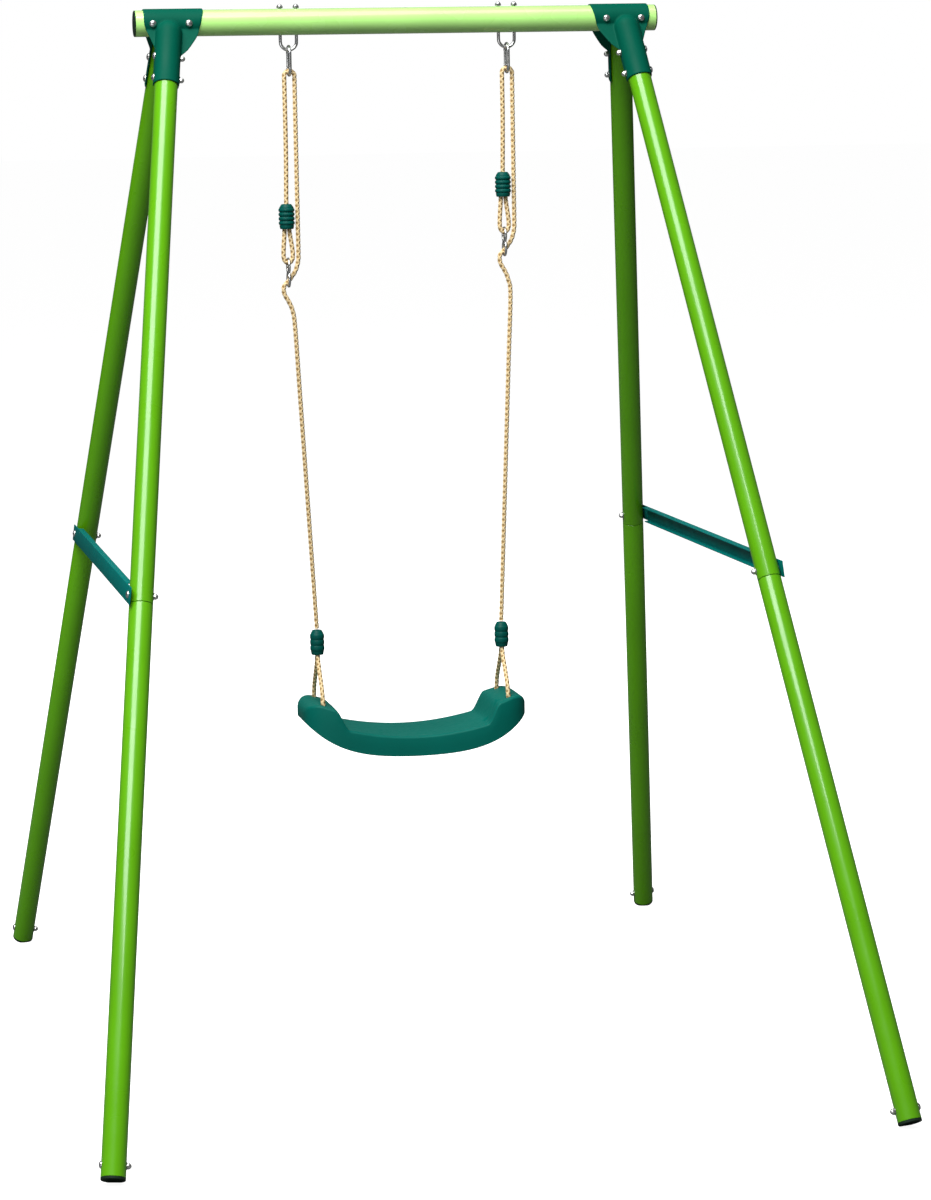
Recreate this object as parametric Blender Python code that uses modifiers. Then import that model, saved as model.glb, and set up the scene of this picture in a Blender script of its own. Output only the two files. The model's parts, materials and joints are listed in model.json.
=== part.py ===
"""Single child's swing: an A-frame of round tube with one moulded seat hanging on two ropes.

Metres, +Z up, +X along the beam, the sitter faces -Y. The origin is on the ground under the beam's middle.
"""
import math

import bmesh
import bpy
from mathutils import Matrix, Vector

GAP = 0.0003                     # clearance between touching pieces
BEAM_SIDES = 20                  # facets of round pieces
LEG_SIDES = 16
BARREL_SIDES = 12
BOLT_SIDES = 6

# Beam
BEAM_HEIGHT = 1.900              # beam axis above the ground
BEAM_HALF = 0.4875
BEAM_R = 0.024
WALL = 0.0015
CAP_LIP = 0.0022

# Legs: each axis runs from a foot point on the ground to a point under the beam
LEG_R = 0.021
LEG_TOP = Vector((0.4427, 0.078, 1.779))
LEG_FOOT = Vector((0.6805, 0.948, 0.0))
LEG_END_Z = 1.862
SEAM_Z = 0.897
SPIGOT_LENGTH = 0.070
PLUG_LIP = 0.0045
HEEL_CUT = 0.0020

# Corner brackets
SHEET = 0.0025
PLATE_DROP = 0.011               # where the plate leaves the half-round, below the beam's axis
PLATE_RISE = 0.003               # the plate's top edge above that, along the plate
# bracket's two side edges: height from the beam's axis, and distance from the frame's middle
OUTER_EDGE = ((0.030, 0.4705), (0.024, 0.4735), (0.004, 0.4738), (-0.010, 0.4710), (-0.024, 0.4652),
              (-0.042, 0.4582), (-0.064, 0.4500))
INNER_EDGE = ((0.030, 0.3665), (0.024, 0.3630), (0.008, 0.3668), (-0.010, 0.3714), (-0.024, 0.3762),
              (-0.038, 0.3862), (-0.052, 0.3985), (-0.064, 0.4160))
CHANNEL_BOTTOM_Z = 1.787
CHANNEL_TOP_Z = 1.893
CHANNEL_SKIRT = 0.010            # how far the channel's sides pass the leg's axis
BEAM_BOLT_X = (0.391, 0.457)
BEAM_BOLT_Z = 1.899
LEG_BOLT_Z = (1.838, 1.799)

# Side braces
BRACE_Z = 0.912
BRACE_HALF = 0.530
BRACE_HEIGHT = 0.030
BRACE_DEPTH = 0.012
BRACE_SHEET = 0.0020
BRACE_FLANGE_HALF = 0.455
FOOT_BOLT_Z = 0.030

# Bolts
BOLT_R = 0.0030
BOLT_HOLE_R = 0.0034
HEAD_R = 0.0066
HEAD_HEIGHT = 0.0040
NUT_R = 0.0058
NUT_LENGTH = 0.0085

# Swing
HOOK_X = 0.205
HOLE_X = 0.177                   # seat holes and lower barrels
U_WIRE_R = 0.0030
U_HALF = 0.0150
U_BOTTOM_Z = 1.8490
HOOK_WIRE_R = 0.0030
HOOK_R = 0.0140                  # bend radius of the snap hook's round ends
HOOK_TOP_Z = 1.8556
HOOK_BOTTOM_Z = 1.8030
GATE_R = 0.0025
ROPE_R = 0.0043
LOOP_HALF = 0.0095               # half the distance between the two strands of the top loop
ROPE_TOP_Z = 1.8109
BARREL_X = -0.0110               # upper barrel's axis from the hook
UPPER_BARREL_Z = {"left": 1.544, "right": 1.595}
EYE_Z = {"left": 1.4583, "right": 1.5063}
RING_R = 0.0132
RING_WIRE_R = 0.0025
RING_CLEARANCE = 0.0012          # between the adjuster's wire and the ropes, and its rings' overlap
ADJUSTER_OFFSET = 0.0012         # the adjuster's plane from the upper barrel's axis
STRAND_HALF = 0.0046
BARREL_R = 0.0150
BARREL_LENGTH = 0.046
LOWER_BARREL_R = 0.0135
LOWER_BARREL_LENGTH = 0.047
LOWER_BARREL_TOP_Z = 0.7700
ROPE_END_RISE = 0.0022           # rope's end centre above the lower barrel's top

# Seat
SEAT_HALF_X = 0.213
SEAT_HALF_Y = 0.088
SEAT_WALL = 0.0035
SEAT_TOP_Z = 0.5720              # top face at the middle, before its slight crown
SEAT_BOTTOM_Z = 0.5350           # rim's lower edge at the middle
PAN_CURVE = 0.95
PAN_CROWN = 0.0015
HUMP_START_X = 0.131             # raised ends: foot, crest and height of the inner slope
HUMP_END_X = 0.157
HUMP_HEIGHT = 0.032
TIP_START_X = 0.178              # blunt rounded tip beyond the rope holes
TIP_END_X = 0.215
TIP_DROP = 0.040
RIM_CURVE = 0.53
RIM_SWEEP = 22.0
HOLE_Y = 0.055
HOLE_R = 0.0062
SEAT_ROPE_FLOOR = 0.0100         # seat rope's axis below the underside of the seat's top

COLORS = {
    "beam": (0.36, 0.68, 0.13, 0.35),
    "leg": (0.17, 0.47, 0.02, 0.35),
    "bracket": (0.004, 0.12, 0.06, 0.40),
    "brace": (0.004, 0.08, 0.07, 0.40),
    "plug": (0.01, 0.03, 0.02, 0.60),
    "zinc": (0.65, 0.66, 0.68, 0.25),
    "barrel": (0.003, 0.09, 0.06, 0.45),
    "seat": (0.002, 0.13, 0.09, 0.40),
    "rope": (0.62, 0.42, 0.18, 0.85),
}
METALS = ("zinc",)


# ---------------------------------------------------------------- helpers

def clear_scene():
    for obj in list(bpy.data.objects):
        bpy.data.objects.remove(obj, do_unlink=True)


def collection(name):
    made = bpy.data.collections.new(name)
    bpy.context.scene.collection.children.link(made)
    return made


def material(name, finish):
    red, green, blue, roughness = COLORS[finish]
    made = bpy.data.materials.new(name)
    made.use_nodes = True
    shader = made.node_tree.nodes["Principled BSDF"]
    shader.inputs["Base Color"].default_value = (red, green, blue, 1.0)
    shader.inputs["Roughness"].default_value = roughness
    shader.inputs["Metallic"].default_value = 1.0 if finish in METALS else 0.0
    return made


def face_out(bm):
    """Turn all faces of a closed mesh to point out of it."""
    bmesh.ops.recalc_face_normals(bm, faces=bm.faces)
    if bm.calc_volume(signed=True) < 0:
        bmesh.ops.reverse_faces(bm, faces=bm.faces)


def to_object(name, bm):
    """A mesh object in the model's collection from a bmesh, with its faces pointing out."""
    face_out(bm)
    mesh = bpy.data.meshes.new(name)
    bm.to_mesh(mesh)
    bm.free()
    obj = bpy.data.objects.new(name, mesh)
    MODEL.objects.link(obj)
    return obj


def frozen(obj, weld=0.0):
    """The object with its modifiers or its curve turned into one plain mesh."""
    bpy.context.view_layer.update()
    graph = bpy.context.evaluated_depsgraph_get()
    mesh = bpy.data.meshes.new_from_object(obj.evaluated_get(graph))
    if weld:
        bm = bmesh.new()
        bm.from_mesh(mesh)
        bmesh.ops.remove_doubles(bm, verts=bm.verts, dist=weld)
        face_out(bm)
        bm.to_mesh(mesh)
        bm.free()
    made = bpy.data.objects.new(obj.name, mesh)
    MODEL.objects.link(made)
    made.matrix_world = obj.matrix_world
    name = obj.name
    bpy.data.objects.remove(obj, do_unlink=True)
    made.name = name
    mesh.name = name
    return made


def boolean(target, tools, operation, solver="EXACT"):
    """Join solids to the target, or cut them from it, and use the tools up."""
    for tool in tools:
        modifier = target.modifiers.new(operation.lower(), "BOOLEAN")
        modifier.object = tool
        modifier.operation = operation
        modifier.solver = solver
    target = frozen(target)
    for tool in tools:
        bpy.data.objects.remove(tool, do_unlink=True)
    return target


def union(target, *tools, solver="EXACT"):
    return boolean(target, tools, "UNION", solver)


def cut(target, *tools, solver="EXACT"):
    return boolean(target, tools, "DIFFERENCE", solver)


def finish(obj, colour, pivot=None, smooth_angle=40):
    """Give the piece its own material, shading and, for a moving piece, its origin on the pivot."""
    place = obj.matrix_world.copy()
    obj.data.transform(place)
    obj.matrix_world = Matrix.Identity(4)
    if pivot is not None:
        obj.data.transform(Matrix.Translation(-Vector(pivot)))
        obj.location = pivot
    obj.data.materials.clear()
    obj.data.materials.append(material(obj.name, colour))
    obj.data.shade_smooth()
    obj.data.set_sharp_from_angle(angle=math.radians(smooth_angle))
    return obj


def rod(name, start, end, radius, sides=16):
    """A plain cylinder between two points."""
    start, end = Vector(start), Vector(end)
    bm = bmesh.new()
    bmesh.ops.create_cone(bm, cap_ends=True, segments=sides, radius1=radius, radius2=radius,
                          depth=(end - start).length)
    turn = (end - start).to_track_quat("Z", "Y").to_matrix().to_4x4()
    bm.transform(Matrix.Translation((start + end) / 2) @ turn)
    return to_object(name, bm)


def box(name, low, high, place=None):
    """A box from its lowest to its highest corner, then moved by a matrix."""
    low, high = Vector(low), Vector(high)
    bm = bmesh.new()
    bmesh.ops.create_cube(bm, size=1.0)
    bm.transform(Matrix.Translation((low + high) / 2) @ Matrix.Diagonal((high - low).to_4d()))
    if place is not None:
        bm.transform(place)
    return to_object(name, bm)


def ball(name, centre, radius, sides=12):
    bm = bmesh.new()
    bmesh.ops.create_uvsphere(bm, u_segments=sides, v_segments=sides // 2, radius=radius)
    bm.transform(Matrix.Translation(centre))
    return to_object(name, bm)


def turned(name, profile, start, direction, steps=16, closed=False):
    """Turn a profile of (radius, height) points about an axis that leaves start along direction."""
    mesh = bpy.data.meshes.new(name)
    count = len(profile)
    edges = [(i, i + 1) for i in range(count - 1)]
    if closed:
        edges.append((count - 1, 0))
    mesh.from_pydata([(radius, 0, height) for radius, height in profile], edges, [])
    obj = bpy.data.objects.new(name, mesh)
    MODEL.objects.link(obj)
    turn = Vector(direction).to_track_quat("Z", "Y").to_matrix().to_4x4()
    obj.matrix_world = Matrix.Translation(start) @ turn
    screw = obj.modifiers.new("turn", "SCREW")
    screw.steps = steps
    screw.render_steps = steps
    screw.use_merge_vertices = True
    screw.merge_threshold = 0.00001
    return frozen(obj, weld=0.000001)


def wire(name, points, radius, cyclic=False, resolution=2):
    """A bent wire or rope through the points, as a closed mesh."""
    curve = bpy.data.curves.new(name, "CURVE")
    curve.dimensions = "3D"
    curve.bevel_depth = radius
    curve.bevel_resolution = resolution
    curve.use_fill_caps = not cyclic
    spline = curve.splines.new("POLY")
    spline.points.add(len(points) - 1)
    for target, point in zip(spline.points, points):
        target.co = (*point, 1.0)
    spline.use_cyclic_u = cyclic
    obj = bpy.data.objects.new(name, curve)
    MODEL.objects.link(obj)
    return frozen(obj, weld=0.000001)


def plate(name, outline, thickness, place):
    """A flat sheet of the given outline, centred on its thickness, moved by a matrix."""
    curve = bpy.data.curves.new(name, "CURVE")
    curve.dimensions = "2D"
    curve.fill_mode = "BOTH"
    curve.extrude = thickness / 2
    spline = curve.splines.new("POLY")
    spline.points.add(len(outline) - 1)
    for target, (x, y) in zip(spline.points, outline):
        target.co = (x, y, 0.0, 1.0)
    spline.use_cyclic_u = True
    obj = bpy.data.objects.new(name, curve)
    MODEL.objects.link(obj)
    made = frozen(obj)
    bm = bmesh.new()
    bm.from_mesh(made.data)
    bm.transform(place)
    bmesh.ops.remove_doubles(bm, verts=bm.verts, dist=0.000001)
    bpy.data.objects.remove(made, do_unlink=True)
    return to_object(name, bm)


def smooth_path(points, spacing):
    """Evenly spaced points on a smooth curve (Catmull-Rom) through the given points."""
    points = [Vector(point) for point in points]
    ends = [2 * points[0] - points[1], *points, 2 * points[-1] - points[-2]]
    dense = []
    for i in range(1, len(ends) - 2):
        before, start, end, after = ends[i - 1:i + 3]
        for step in range(12):
            t = step / 12
            dense.append(0.5 * (2 * start + (end - before) * t
                                + (2 * before - 5 * start + 4 * end - after) * t * t
                                + (3 * start - before - 3 * end + after) * t ** 3))
    dense.append(points[-1])
    total = sum((b - a).length for a, b in zip(dense, dense[1:]))
    count = max(2, round(total / spacing))
    path, run, wanted = [dense[0]], 0.0, total / count
    for a, b in zip(dense, dense[1:]):
        length = (b - a).length
        while run + length >= wanted - 1e-9 and len(path) < count:
            path.append(a.lerp(b, (wanted - run) / length))
            wanted += total / count
        run += length
    return [*path, dense[-1]]


def thinned(path, turn_limit=8.0, run_limit=0.15):
    """Leave out the points of a path where it hardly turns."""
    kept, turned_by, run = [path[0]], 0.0, 0.0
    for before, point, after in zip(path, path[1:], path[2:]):
        turned_by += math.degrees((point - before).angle(after - point))
        run += (point - before).length
        if turned_by > turn_limit or run > run_limit:
            kept.append(point)
            turned_by, run = 0.0, 0.0
    return [*kept, path[-1]]


def arc(centre, radius, start, end, count):
    """Points (a, b) on an arc about centre, from one angle in degrees to another."""
    for i in range(count + 1):
        angle = math.radians(start + (end - start) * i / count)
        yield centre[0] + radius * math.cos(angle), centre[1] + radius * math.sin(angle)


# ---------------------------------------------------------------- leg frames

class Leg:
    """One leg's axis and directions: up along it, out of the A-frame's side, and away from the beam."""

    def __init__(self, side, row):
        self.name = f"{'left' if side < 0 else 'right'}_{'front' if row < 0 else 'rear'}"
        self.side, self.row = side, row
        self.foot = Vector((side * LEG_FOOT.x, row * LEG_FOOT.y, LEG_FOOT.z))
        self.top = Vector((side * LEG_TOP.x, row * LEG_TOP.y, LEG_TOP.z))
        self.up = (self.top - self.foot).normalized()
        lean = Vector((LEG_TOP.z, 0, LEG_FOOT.x - LEG_TOP.x)).normalized()
        self.out = Vector((side * lean.x, 0, lean.z))
        self.away = self.up.cross(self.out).normalized()
        if self.away.y * row < 0:
            self.away.negate()

    def at(self, height):
        """The axis point at a height above the ground."""
        return self.foot + self.up * (height / self.up.z)

    def place(self, origin):
        """Local x is out of the side, y away from the beam, z up the leg."""
        columns = Matrix((self.out, self.away, self.up)).transposed().to_4x4()
        return Matrix.Translation(origin) @ columns


LEGS = [Leg(side, row) for side in (-1, 1) for row in (-1, 1)]
MODEL = None


# ---------------------------------------------------------------- bolts

def bolt(name, head, direction, grip):
    """A round-headed bolt and its dome nut, one solid; head is the point under the head."""
    dome = NUT_R * 0.9
    profile = [(0, -HEAD_HEIGHT), (HEAD_R * 0.62, -HEAD_HEIGHT * 0.78), (HEAD_R, -GAP), (BOLT_R, -GAP),
               (BOLT_R, grip + GAP), (NUT_R, grip + GAP), (NUT_R, grip + NUT_LENGTH * 0.5),
               (dome * 0.75, grip + NUT_LENGTH * 0.85), (0, grip + NUT_LENGTH)]
    made = turned(name, profile[::-1], head, direction, steps=BOLT_SIDES)
    return finish(made, "zinc")


def side_hole(name, leg, height, reach):
    centre = leg.at(height)
    return rod(name, centre - leg.out * reach, centre + leg.out * reach, BOLT_HOLE_R, sides=8)


# ---------------------------------------------------------------- frame

def make_beam():
    outer, inner = BEAM_R, BEAM_R - WALL
    profile = [(outer, BEAM_HALF), (outer, -BEAM_HALF), (inner, -BEAM_HALF), (inner, BEAM_HALF)]
    beam = turned("beam", profile, (0, 0, BEAM_HEIGHT), (1, 0, 0), steps=BEAM_SIDES, closed=True)
    holes = []
    for x in (-HOOK_X, HOOK_X):
        for leg_x in (x - U_HALF, x + U_HALF):
            holes.append(rod("hole", (leg_x, 0, BEAM_HEIGHT - 0.05), (leg_x, 0, BEAM_HEIGHT + 0.05),
                             U_WIRE_R + 0.0004, sides=8))
    for side in (-1, 1):
        for x in BEAM_BOLT_X:
            holes.append(rod("hole", (side * x, -0.05, BEAM_BOLT_Z), (side * x, 0.05, BEAM_BOLT_Z),
                             BOLT_HOLE_R, sides=8))
    finish(cut(beam, *holes), "beam")
    for side, word in ((-1, "left"), (1, "right")):
        start = (side * BEAM_HALF, 0, BEAM_HEIGHT)
        plug = BEAM_R - WALL - GAP
        profile = [(0, CAP_LIP), (BEAM_R - 0.001, CAP_LIP), (BEAM_R, CAP_LIP - 0.001), (BEAM_R, GAP),
                   (plug, GAP), (plug, -0.015), (plug - 0.002, -0.015), (plug - 0.002, 0.0), (0, 0)]
        finish(turned(f"beam_end_cap_{word}", profile, start, (side, 0, 0), steps=BEAM_SIDES), "plug")


def domed(radius, length):
    """Profile of a solid rod with a round top, top to bottom."""
    return [*arc((0, length), radius, 90, 0, 6), (radius, 0), (0, 0)]


def make_wrap(leg):
    """Half-round over the beam and the plate below it, both cut to the bracket's tapering outline."""
    side, row = leg.side, leg.row
    near, far = side * (INNER_EDGE[1][1] - 0.004), side * (OUTER_EDGE[1][1] + 0.004)
    wrap_r = BEAM_R + GAP + SHEET
    wrap = rod(f"bracket_{leg.name}", (near, 0, BEAM_HEIGHT), (far, 0, BEAM_HEIGHT), wrap_r,
               sides=BEAM_SIDES)
    below = box("below", (-0.6, -0.1, 1.8), (0.6, 0.1, BEAM_HEIGHT - PLATE_DROP - 0.001))
    wrap = cut(wrap, below)

    # the plate runs along the beam and slopes with the leg
    middle_r = BEAM_R + GAP + SHEET / 2
    fold = Vector((0, row * math.sqrt(middle_r ** 2 - PLATE_DROP ** 2), BEAM_HEIGHT - PLATE_DROP))
    slope = Vector((0, leg.up.y, leg.up.z)).normalized()
    axes = Matrix(((1, 0, 0), slope.cross(Vector((1, 0, 0))), slope)).transposed()
    place = Matrix.Translation(fold) @ axes.to_4x4()
    ends = sorted((near, far))
    sheet = box("plate", (ends[0], -SHEET / 2, -0.070), (ends[1], SHEET / 2, PLATE_RISE), place)
    outline = [(side * x, BEAM_HEIGHT + z) for z, x in (*OUTER_EDGE, *INNER_EDGE[::-1])]
    upright = Matrix(((1, 0, 0, 0), (0, 0, 1, 0), (0, 1, 0, 0), (0, 0, 0, 1)))
    taper = plate("taper", outline, 0.3, upright)
    # the many-sided shell needs the manifold solver: the exact one leaves open edges in it
    wrap = union(wrap, sheet, solver="MANIFOLD")
    return boolean(wrap, [taper], "INTERSECT", "MANIFOLD")


def make_bracket(leg):
    """A pressed shell: half-round over the beam, a tapering plate, and a domed channel down the leg."""
    side, row = leg.side, leg.row
    low, high = leg.at(CHANNEL_BOTTOM_Z), leg.at(CHANNEL_TOP_Z)
    run = (high - low).length
    half_wall = LEG_R + GAP + SHEET
    channel = turned("channel", domed(half_wall, run), low, leg.up, steps=LEG_SIDES)
    skirt = box("skirt", (-half_wall + 0.0001, -CHANNEL_SKIRT - 0.01, 0.0), (half_wall - 0.0001, 0, run),
                leg.place(low))
    behind = box("behind", (-0.1, -0.2, -0.1), (0.1, -CHANNEL_SKIRT, run + 0.1), leg.place(low))
    channel = cut(union(channel, skirt), behind)
    shell = union(make_wrap(leg), channel, solver="MANIFOLD")

    hollow_r = LEG_R + GAP
    bore = turned("bore", domed(hollow_r, run + 0.02), low - leg.up * 0.02, leg.up, steps=LEG_SIDES)
    bay = box("bay", (-hollow_r, -0.060, -0.02), (hollow_r, 0, run), leg.place(low))
    beam_room = rod("beam_room", (side * 0.30, 0, BEAM_HEIGHT), (side * 0.56, 0, BEAM_HEIGHT),
                    BEAM_R + GAP, sides=BEAM_SIDES)
    seam = row * GAP
    other_half = box("other_half", (-0.7, min(seam, -row * 0.2), 1.6), (0.7, max(seam, -row * 0.2), 2.1))
    shell = cut(shell, bore, bay, beam_room, other_half, solver="MANIFOLD")
    holes = [side_hole("hole", leg, height, 0.05) for height in LEG_BOLT_Z]
    holes += [rod("hole", (side * x, row * 0.001, BEAM_BOLT_Z), (side * x, row * 0.06, BEAM_BOLT_Z),
                  BOLT_HOLE_R, sides=8) for x in BEAM_BOLT_X]
    finish(cut(shell, *holes, solver="MANIFOLD"), "bracket")


def make_leg(leg):
    """Upper tube, lower tube with its reduced spigot, and the foot plug with a flat heel."""
    top, seam = leg.at(LEG_END_Z), leg.at(SEAM_Z)
    inner = LEG_R - WALL
    length = (top - seam).length
    profile = [(LEG_R, length), (LEG_R, GAP), (inner, GAP), (inner, length)]
    upper = turned(f"upper_leg_{leg.name}", profile, seam, leg.up, steps=LEG_SIDES, closed=True)
    holes = [side_hole("hole", leg, height, 0.04) for height in (*LEG_BOLT_Z, BRACE_Z)]
    finish(cut(upper, *holes), "leg")

    lean = math.sqrt(1 - leg.up.z ** 2)
    end_z = LEG_R * lean - HEEL_CUT
    end = leg.at(end_z)
    bottom = PLUG_LIP + GAP
    seam_run = (seam - end).length
    spigot = inner - GAP
    shoulder = seam_run - GAP
    profile = [(spigot, seam_run + SPIGOT_LENGTH), (spigot, shoulder), (LEG_R, shoulder),
               (LEG_R, bottom), (inner, bottom), (inner, shoulder - WALL - 0.003),
               (spigot - WALL, shoulder - WALL), (spigot - WALL, seam_run + SPIGOT_LENGTH)]
    lower = turned(f"lower_leg_{leg.name}", profile, end, leg.up, steps=LEG_SIDES, closed=True)
    holes = [side_hole("hole", leg, height, 0.04) for height in (BRACE_Z, FOOT_BOLT_Z)]
    finish(cut(lower, *holes), "leg")

    plug_in = inner - GAP
    profile = [(0, bottom), (plug_in - 0.0025, bottom), (plug_in - 0.0025, 0.014), (plug_in, 0.014),
               (plug_in, PLUG_LIP), (LEG_R, PLUG_LIP), (LEG_R, 0.0006), (LEG_R - 0.0006, 0), (0, 0)]
    plug = turned(f"foot_plug_{leg.name}", profile, end, leg.up, steps=LEG_SIDES)
    ground = box("ground", (end.x - 0.05, end.y - 0.05, -0.05), (end.x + 0.05, end.y + 0.05, 0.0))
    finish(cut(plug, ground), "plug")


def make_brace(side):
    """A pressed channel bolted on the outside of both legs, its flanges turned in between them."""
    word = "left" if side < 0 else "right"
    front = next(leg for leg in LEGS if leg.side == side and leg.row < 0)
    centre = front.at(BRACE_Z)
    centre.y = 0.0
    up = front.out.cross(Vector((0, 1, 0))) * -side
    place = Matrix.Translation(centre) @ Matrix((front.out, Vector((0, 1, 0)), up)).transposed().to_4x4()
    inner = LEG_R + GAP
    half = BRACE_HEIGHT / 2
    web = box(f"brace_{word}", (inner, -BRACE_HALF, -half), (inner + BRACE_SHEET, BRACE_HALF, half), place)
    flanges = [box("flange", (inner - BRACE_DEPTH + BRACE_SHEET, -BRACE_FLANGE_HALF, low),
                   (inner + 0.0005, BRACE_FLANGE_HALF, low + BRACE_SHEET), place)
               for low in (-half, half - BRACE_SHEET)]
    brace = union(web, *flanges)
    holes = [side_hole("hole", leg, BRACE_Z, 0.06) for leg in LEGS if leg.side == side]
    finish(cut(brace, *holes), "brace")


def make_frame_bolts():
    """Bolts through beam and brackets, bracket and leg, brace and leg, and the feet."""
    wrap_face = BEAM_R + GAP + SHEET
    for side, word in ((-1, "left"), (1, "right")):
        for x, place in zip(BEAM_BOLT_X, ("inner", "outer")):
            bolt(f"beam_bolt_{word}_{place}", (side * x, -wrap_face, BEAM_BOLT_Z), (0, 1, 0), 2 * wrap_face)
    clamp = LEG_R + GAP + SHEET
    for leg in LEGS:
        for height, place in zip(LEG_BOLT_Z, ("upper", "lower")):
            centre = leg.at(height)
            bolt(f"bracket_bolt_{leg.name}_{place}", centre + leg.out * clamp, -leg.out, 2 * clamp)
        brace_face = LEG_R + GAP + BRACE_SHEET
        bolt(f"brace_bolt_{leg.name}", leg.at(BRACE_Z) + leg.out * brace_face, -leg.out, brace_face + LEG_R)
        bolt(f"foot_bolt_{leg.name}", leg.at(FOOT_BOLT_Z) + leg.out * LEG_R, -leg.out, 2 * LEG_R)


def make_u_bolt(word, x):
    """A bent wire through the beam with a dome nut on each end."""
    top = BEAM_HEIGHT + BEAM_R + GAP
    rise = U_BOTTOM_Z + U_HALF
    points = [(x - U_HALF, 0, top + NUT_LENGTH / 2), (x - U_HALF, 0, rise)]
    points += [(a, 0, b) for a, b in arc((x, rise), U_HALF, 195, 345, 8)]
    points += [(x + U_HALF, 0, rise), (x + U_HALF, 0, top + NUT_LENGTH / 2)]
    made = wire(f"u_bolt_{word}", points, U_WIRE_R)
    dome = [(0, NUT_LENGTH), (NUT_R * 0.55, NUT_LENGTH - 0.0008), (NUT_R, NUT_LENGTH * 0.55),
            (NUT_R, 0), (0, 0)]
    nuts = [turned("nut", dome, (nut_x, 0, top), (0, 0, 1), steps=BOLT_SIDES)
            for nut_x in (x - U_HALF, x + U_HALF)]
    finish(union(made, *nuts), "zinc")


# ---------------------------------------------------------------- swing

def make_snap_hook(word, x):
    """A wire hook in the YZ plane, open on its rear side, and the gate that closes it."""
    high, low = HOOK_TOP_Z - HOOK_R, HOOK_BOTTOM_Z + HOOK_R
    gap_top, gap_low = high + 0.001, low - 0.001
    points = [(x, HOOK_R, gap_top)]
    points += [(x, a, b) for a, b in arc((0, high), HOOK_R, 10, 180, 9)]
    points += [(x, a, b) for a, b in arc((0, low), HOOK_R, 180, 350, 9)]
    points += [(x, HOOK_R, gap_low)]
    finish(wire(f"snap_hook_{word}", points, HOOK_WIRE_R, resolution=3), "zinc", pivot=(x, 0, U_BOTTOM_Z))
    pivot = Vector((x, HOOK_R, gap_low + 0.0005 + GATE_R))
    gate = rod(f"gate_{word}", pivot, (x, HOOK_R, gap_top - 0.0005), GATE_R, sides=12)
    knuckle = ball("knuckle", pivot, GATE_R * 0.999, sides=12)
    finish(union(gate, knuckle), "zinc", pivot=pivot)
    return pivot


def rope_route(word, x):
    """Rope points, all in the plane of the beam: barrel, eye, barrel, top loop, adjuster, seat barrel."""
    side = -1 if word == "left" else 1
    barrel = UPPER_BARREL_Z[word]
    eye = EYE_Z[word]
    axis = x + BARREL_X
    half = BARREL_LENGTH / 2
    plane = axis + ADJUSTER_OFFSET
    route = [(axis + STRAND_HALF, barrel - 0.008), (axis + STRAND_HALF, barrel - half - 0.004),
             (plane + 0.0084, eye + 0.022), (plane + 0.0073, eye + 0.0062), (plane, eye),
             (plane - 0.0073, eye + 0.0062), (plane - 0.0084, eye + 0.022),
             (axis - STRAND_HALF, barrel - half - 0.004), (axis - STRAND_HALF, barrel - 0.004),
             (axis, barrel + half - 0.004), (axis, barrel + half + 0.010),
             (x - LOOP_HALF, barrel + 0.12), (x - LOOP_HALF, ROPE_TOP_Z - 0.03)]
    route += [(a, b) for a, b in arc((x, ROPE_TOP_Z - LOOP_HALF), LOOP_HALF, 180, 0, 6)]
    drop = eye - 0.0333
    route += [(x + LOOP_HALF, ROPE_TOP_Z - 0.03), (x + LOOP_HALF, barrel + 0.08), (x + LOOP_HALF, barrel),
              (x + LOOP_HALF, eye + 0.020), (x + 0.0085, eye + 0.003), (x + 0.0035, eye - 0.014),
              (x - 0.0045, drop + 0.0070), (plane, drop), (plane - 0.0090, drop - 0.0100),
              (plane - 0.0086, drop - 0.0240), (plane - 0.0010, drop - 0.0380), (x - 0.004, drop - 0.055),
              (x, drop - 0.085)]
    end_x = side * HOLE_X
    end_z = LOWER_BARREL_TOP_Z + ROPE_END_RISE
    start_z = drop - 0.085
    for t in (0.2, 0.4, 0.6, 0.8, 0.96, 1.0):
        route.append((x + (end_x - x) * t, start_z + (end_z - start_z) * t))
    return [(a, 0.0, b) for a, b in route]


def make_rope(word, x):
    path = thinned(smooth_path(rope_route(word, x), ROPE_R * 1.2))
    rope = wire(f"rope_{word}", path, ROPE_R, resolution=2)
    tip = ball("tip", path[-1], ROPE_R * 0.999, sides=12)
    finish(union(rope, tip), "rope", pivot=(x, 0, ROPE_TOP_Z))


def make_adjuster(word, x):
    """A figure-eight of wire standing across the rope's plane."""
    plane = x + BARREL_X + ADJUSTER_OFFSET
    top = EYE_Z[word] + ROPE_R + RING_WIRE_R + RING_CLEARANCE
    rings = []
    for centre in (top - RING_R, top - 3 * RING_R + RING_CLEARANCE):
        points = [(plane, a, b) for a, b in arc((0, centre), RING_R, 0, 360 - 360 / 14, 13)]
        rings.append(wire(f"adjuster_{word}", points, RING_WIRE_R, cyclic=True, resolution=2))
    finish(union(*rings), "zinc")


def barrel_outline(radius, length, ribs):
    """Outer profile of a ribbed rope barrel, top to bottom: tapered ends and grooves between ribs."""
    outline = [(radius * 0.52, length / 2), (radius * 0.86, length / 2 - 0.006)]
    body = length - 0.016
    pitch = body / ribs
    for i in range(ribs):
        high = body / 2 - i * pitch
        outline += [(radius, high - pitch * 0.18), (radius, high - pitch * 0.70)]
        if i < ribs - 1:
            outline += [(radius * 0.86, high - pitch * 0.82), (radius * 0.86, high - pitch * 1.02)]
    return [*outline, (radius * 0.84, -length / 2 + 0.003), (radius * 0.78, -length / 2)]


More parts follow.
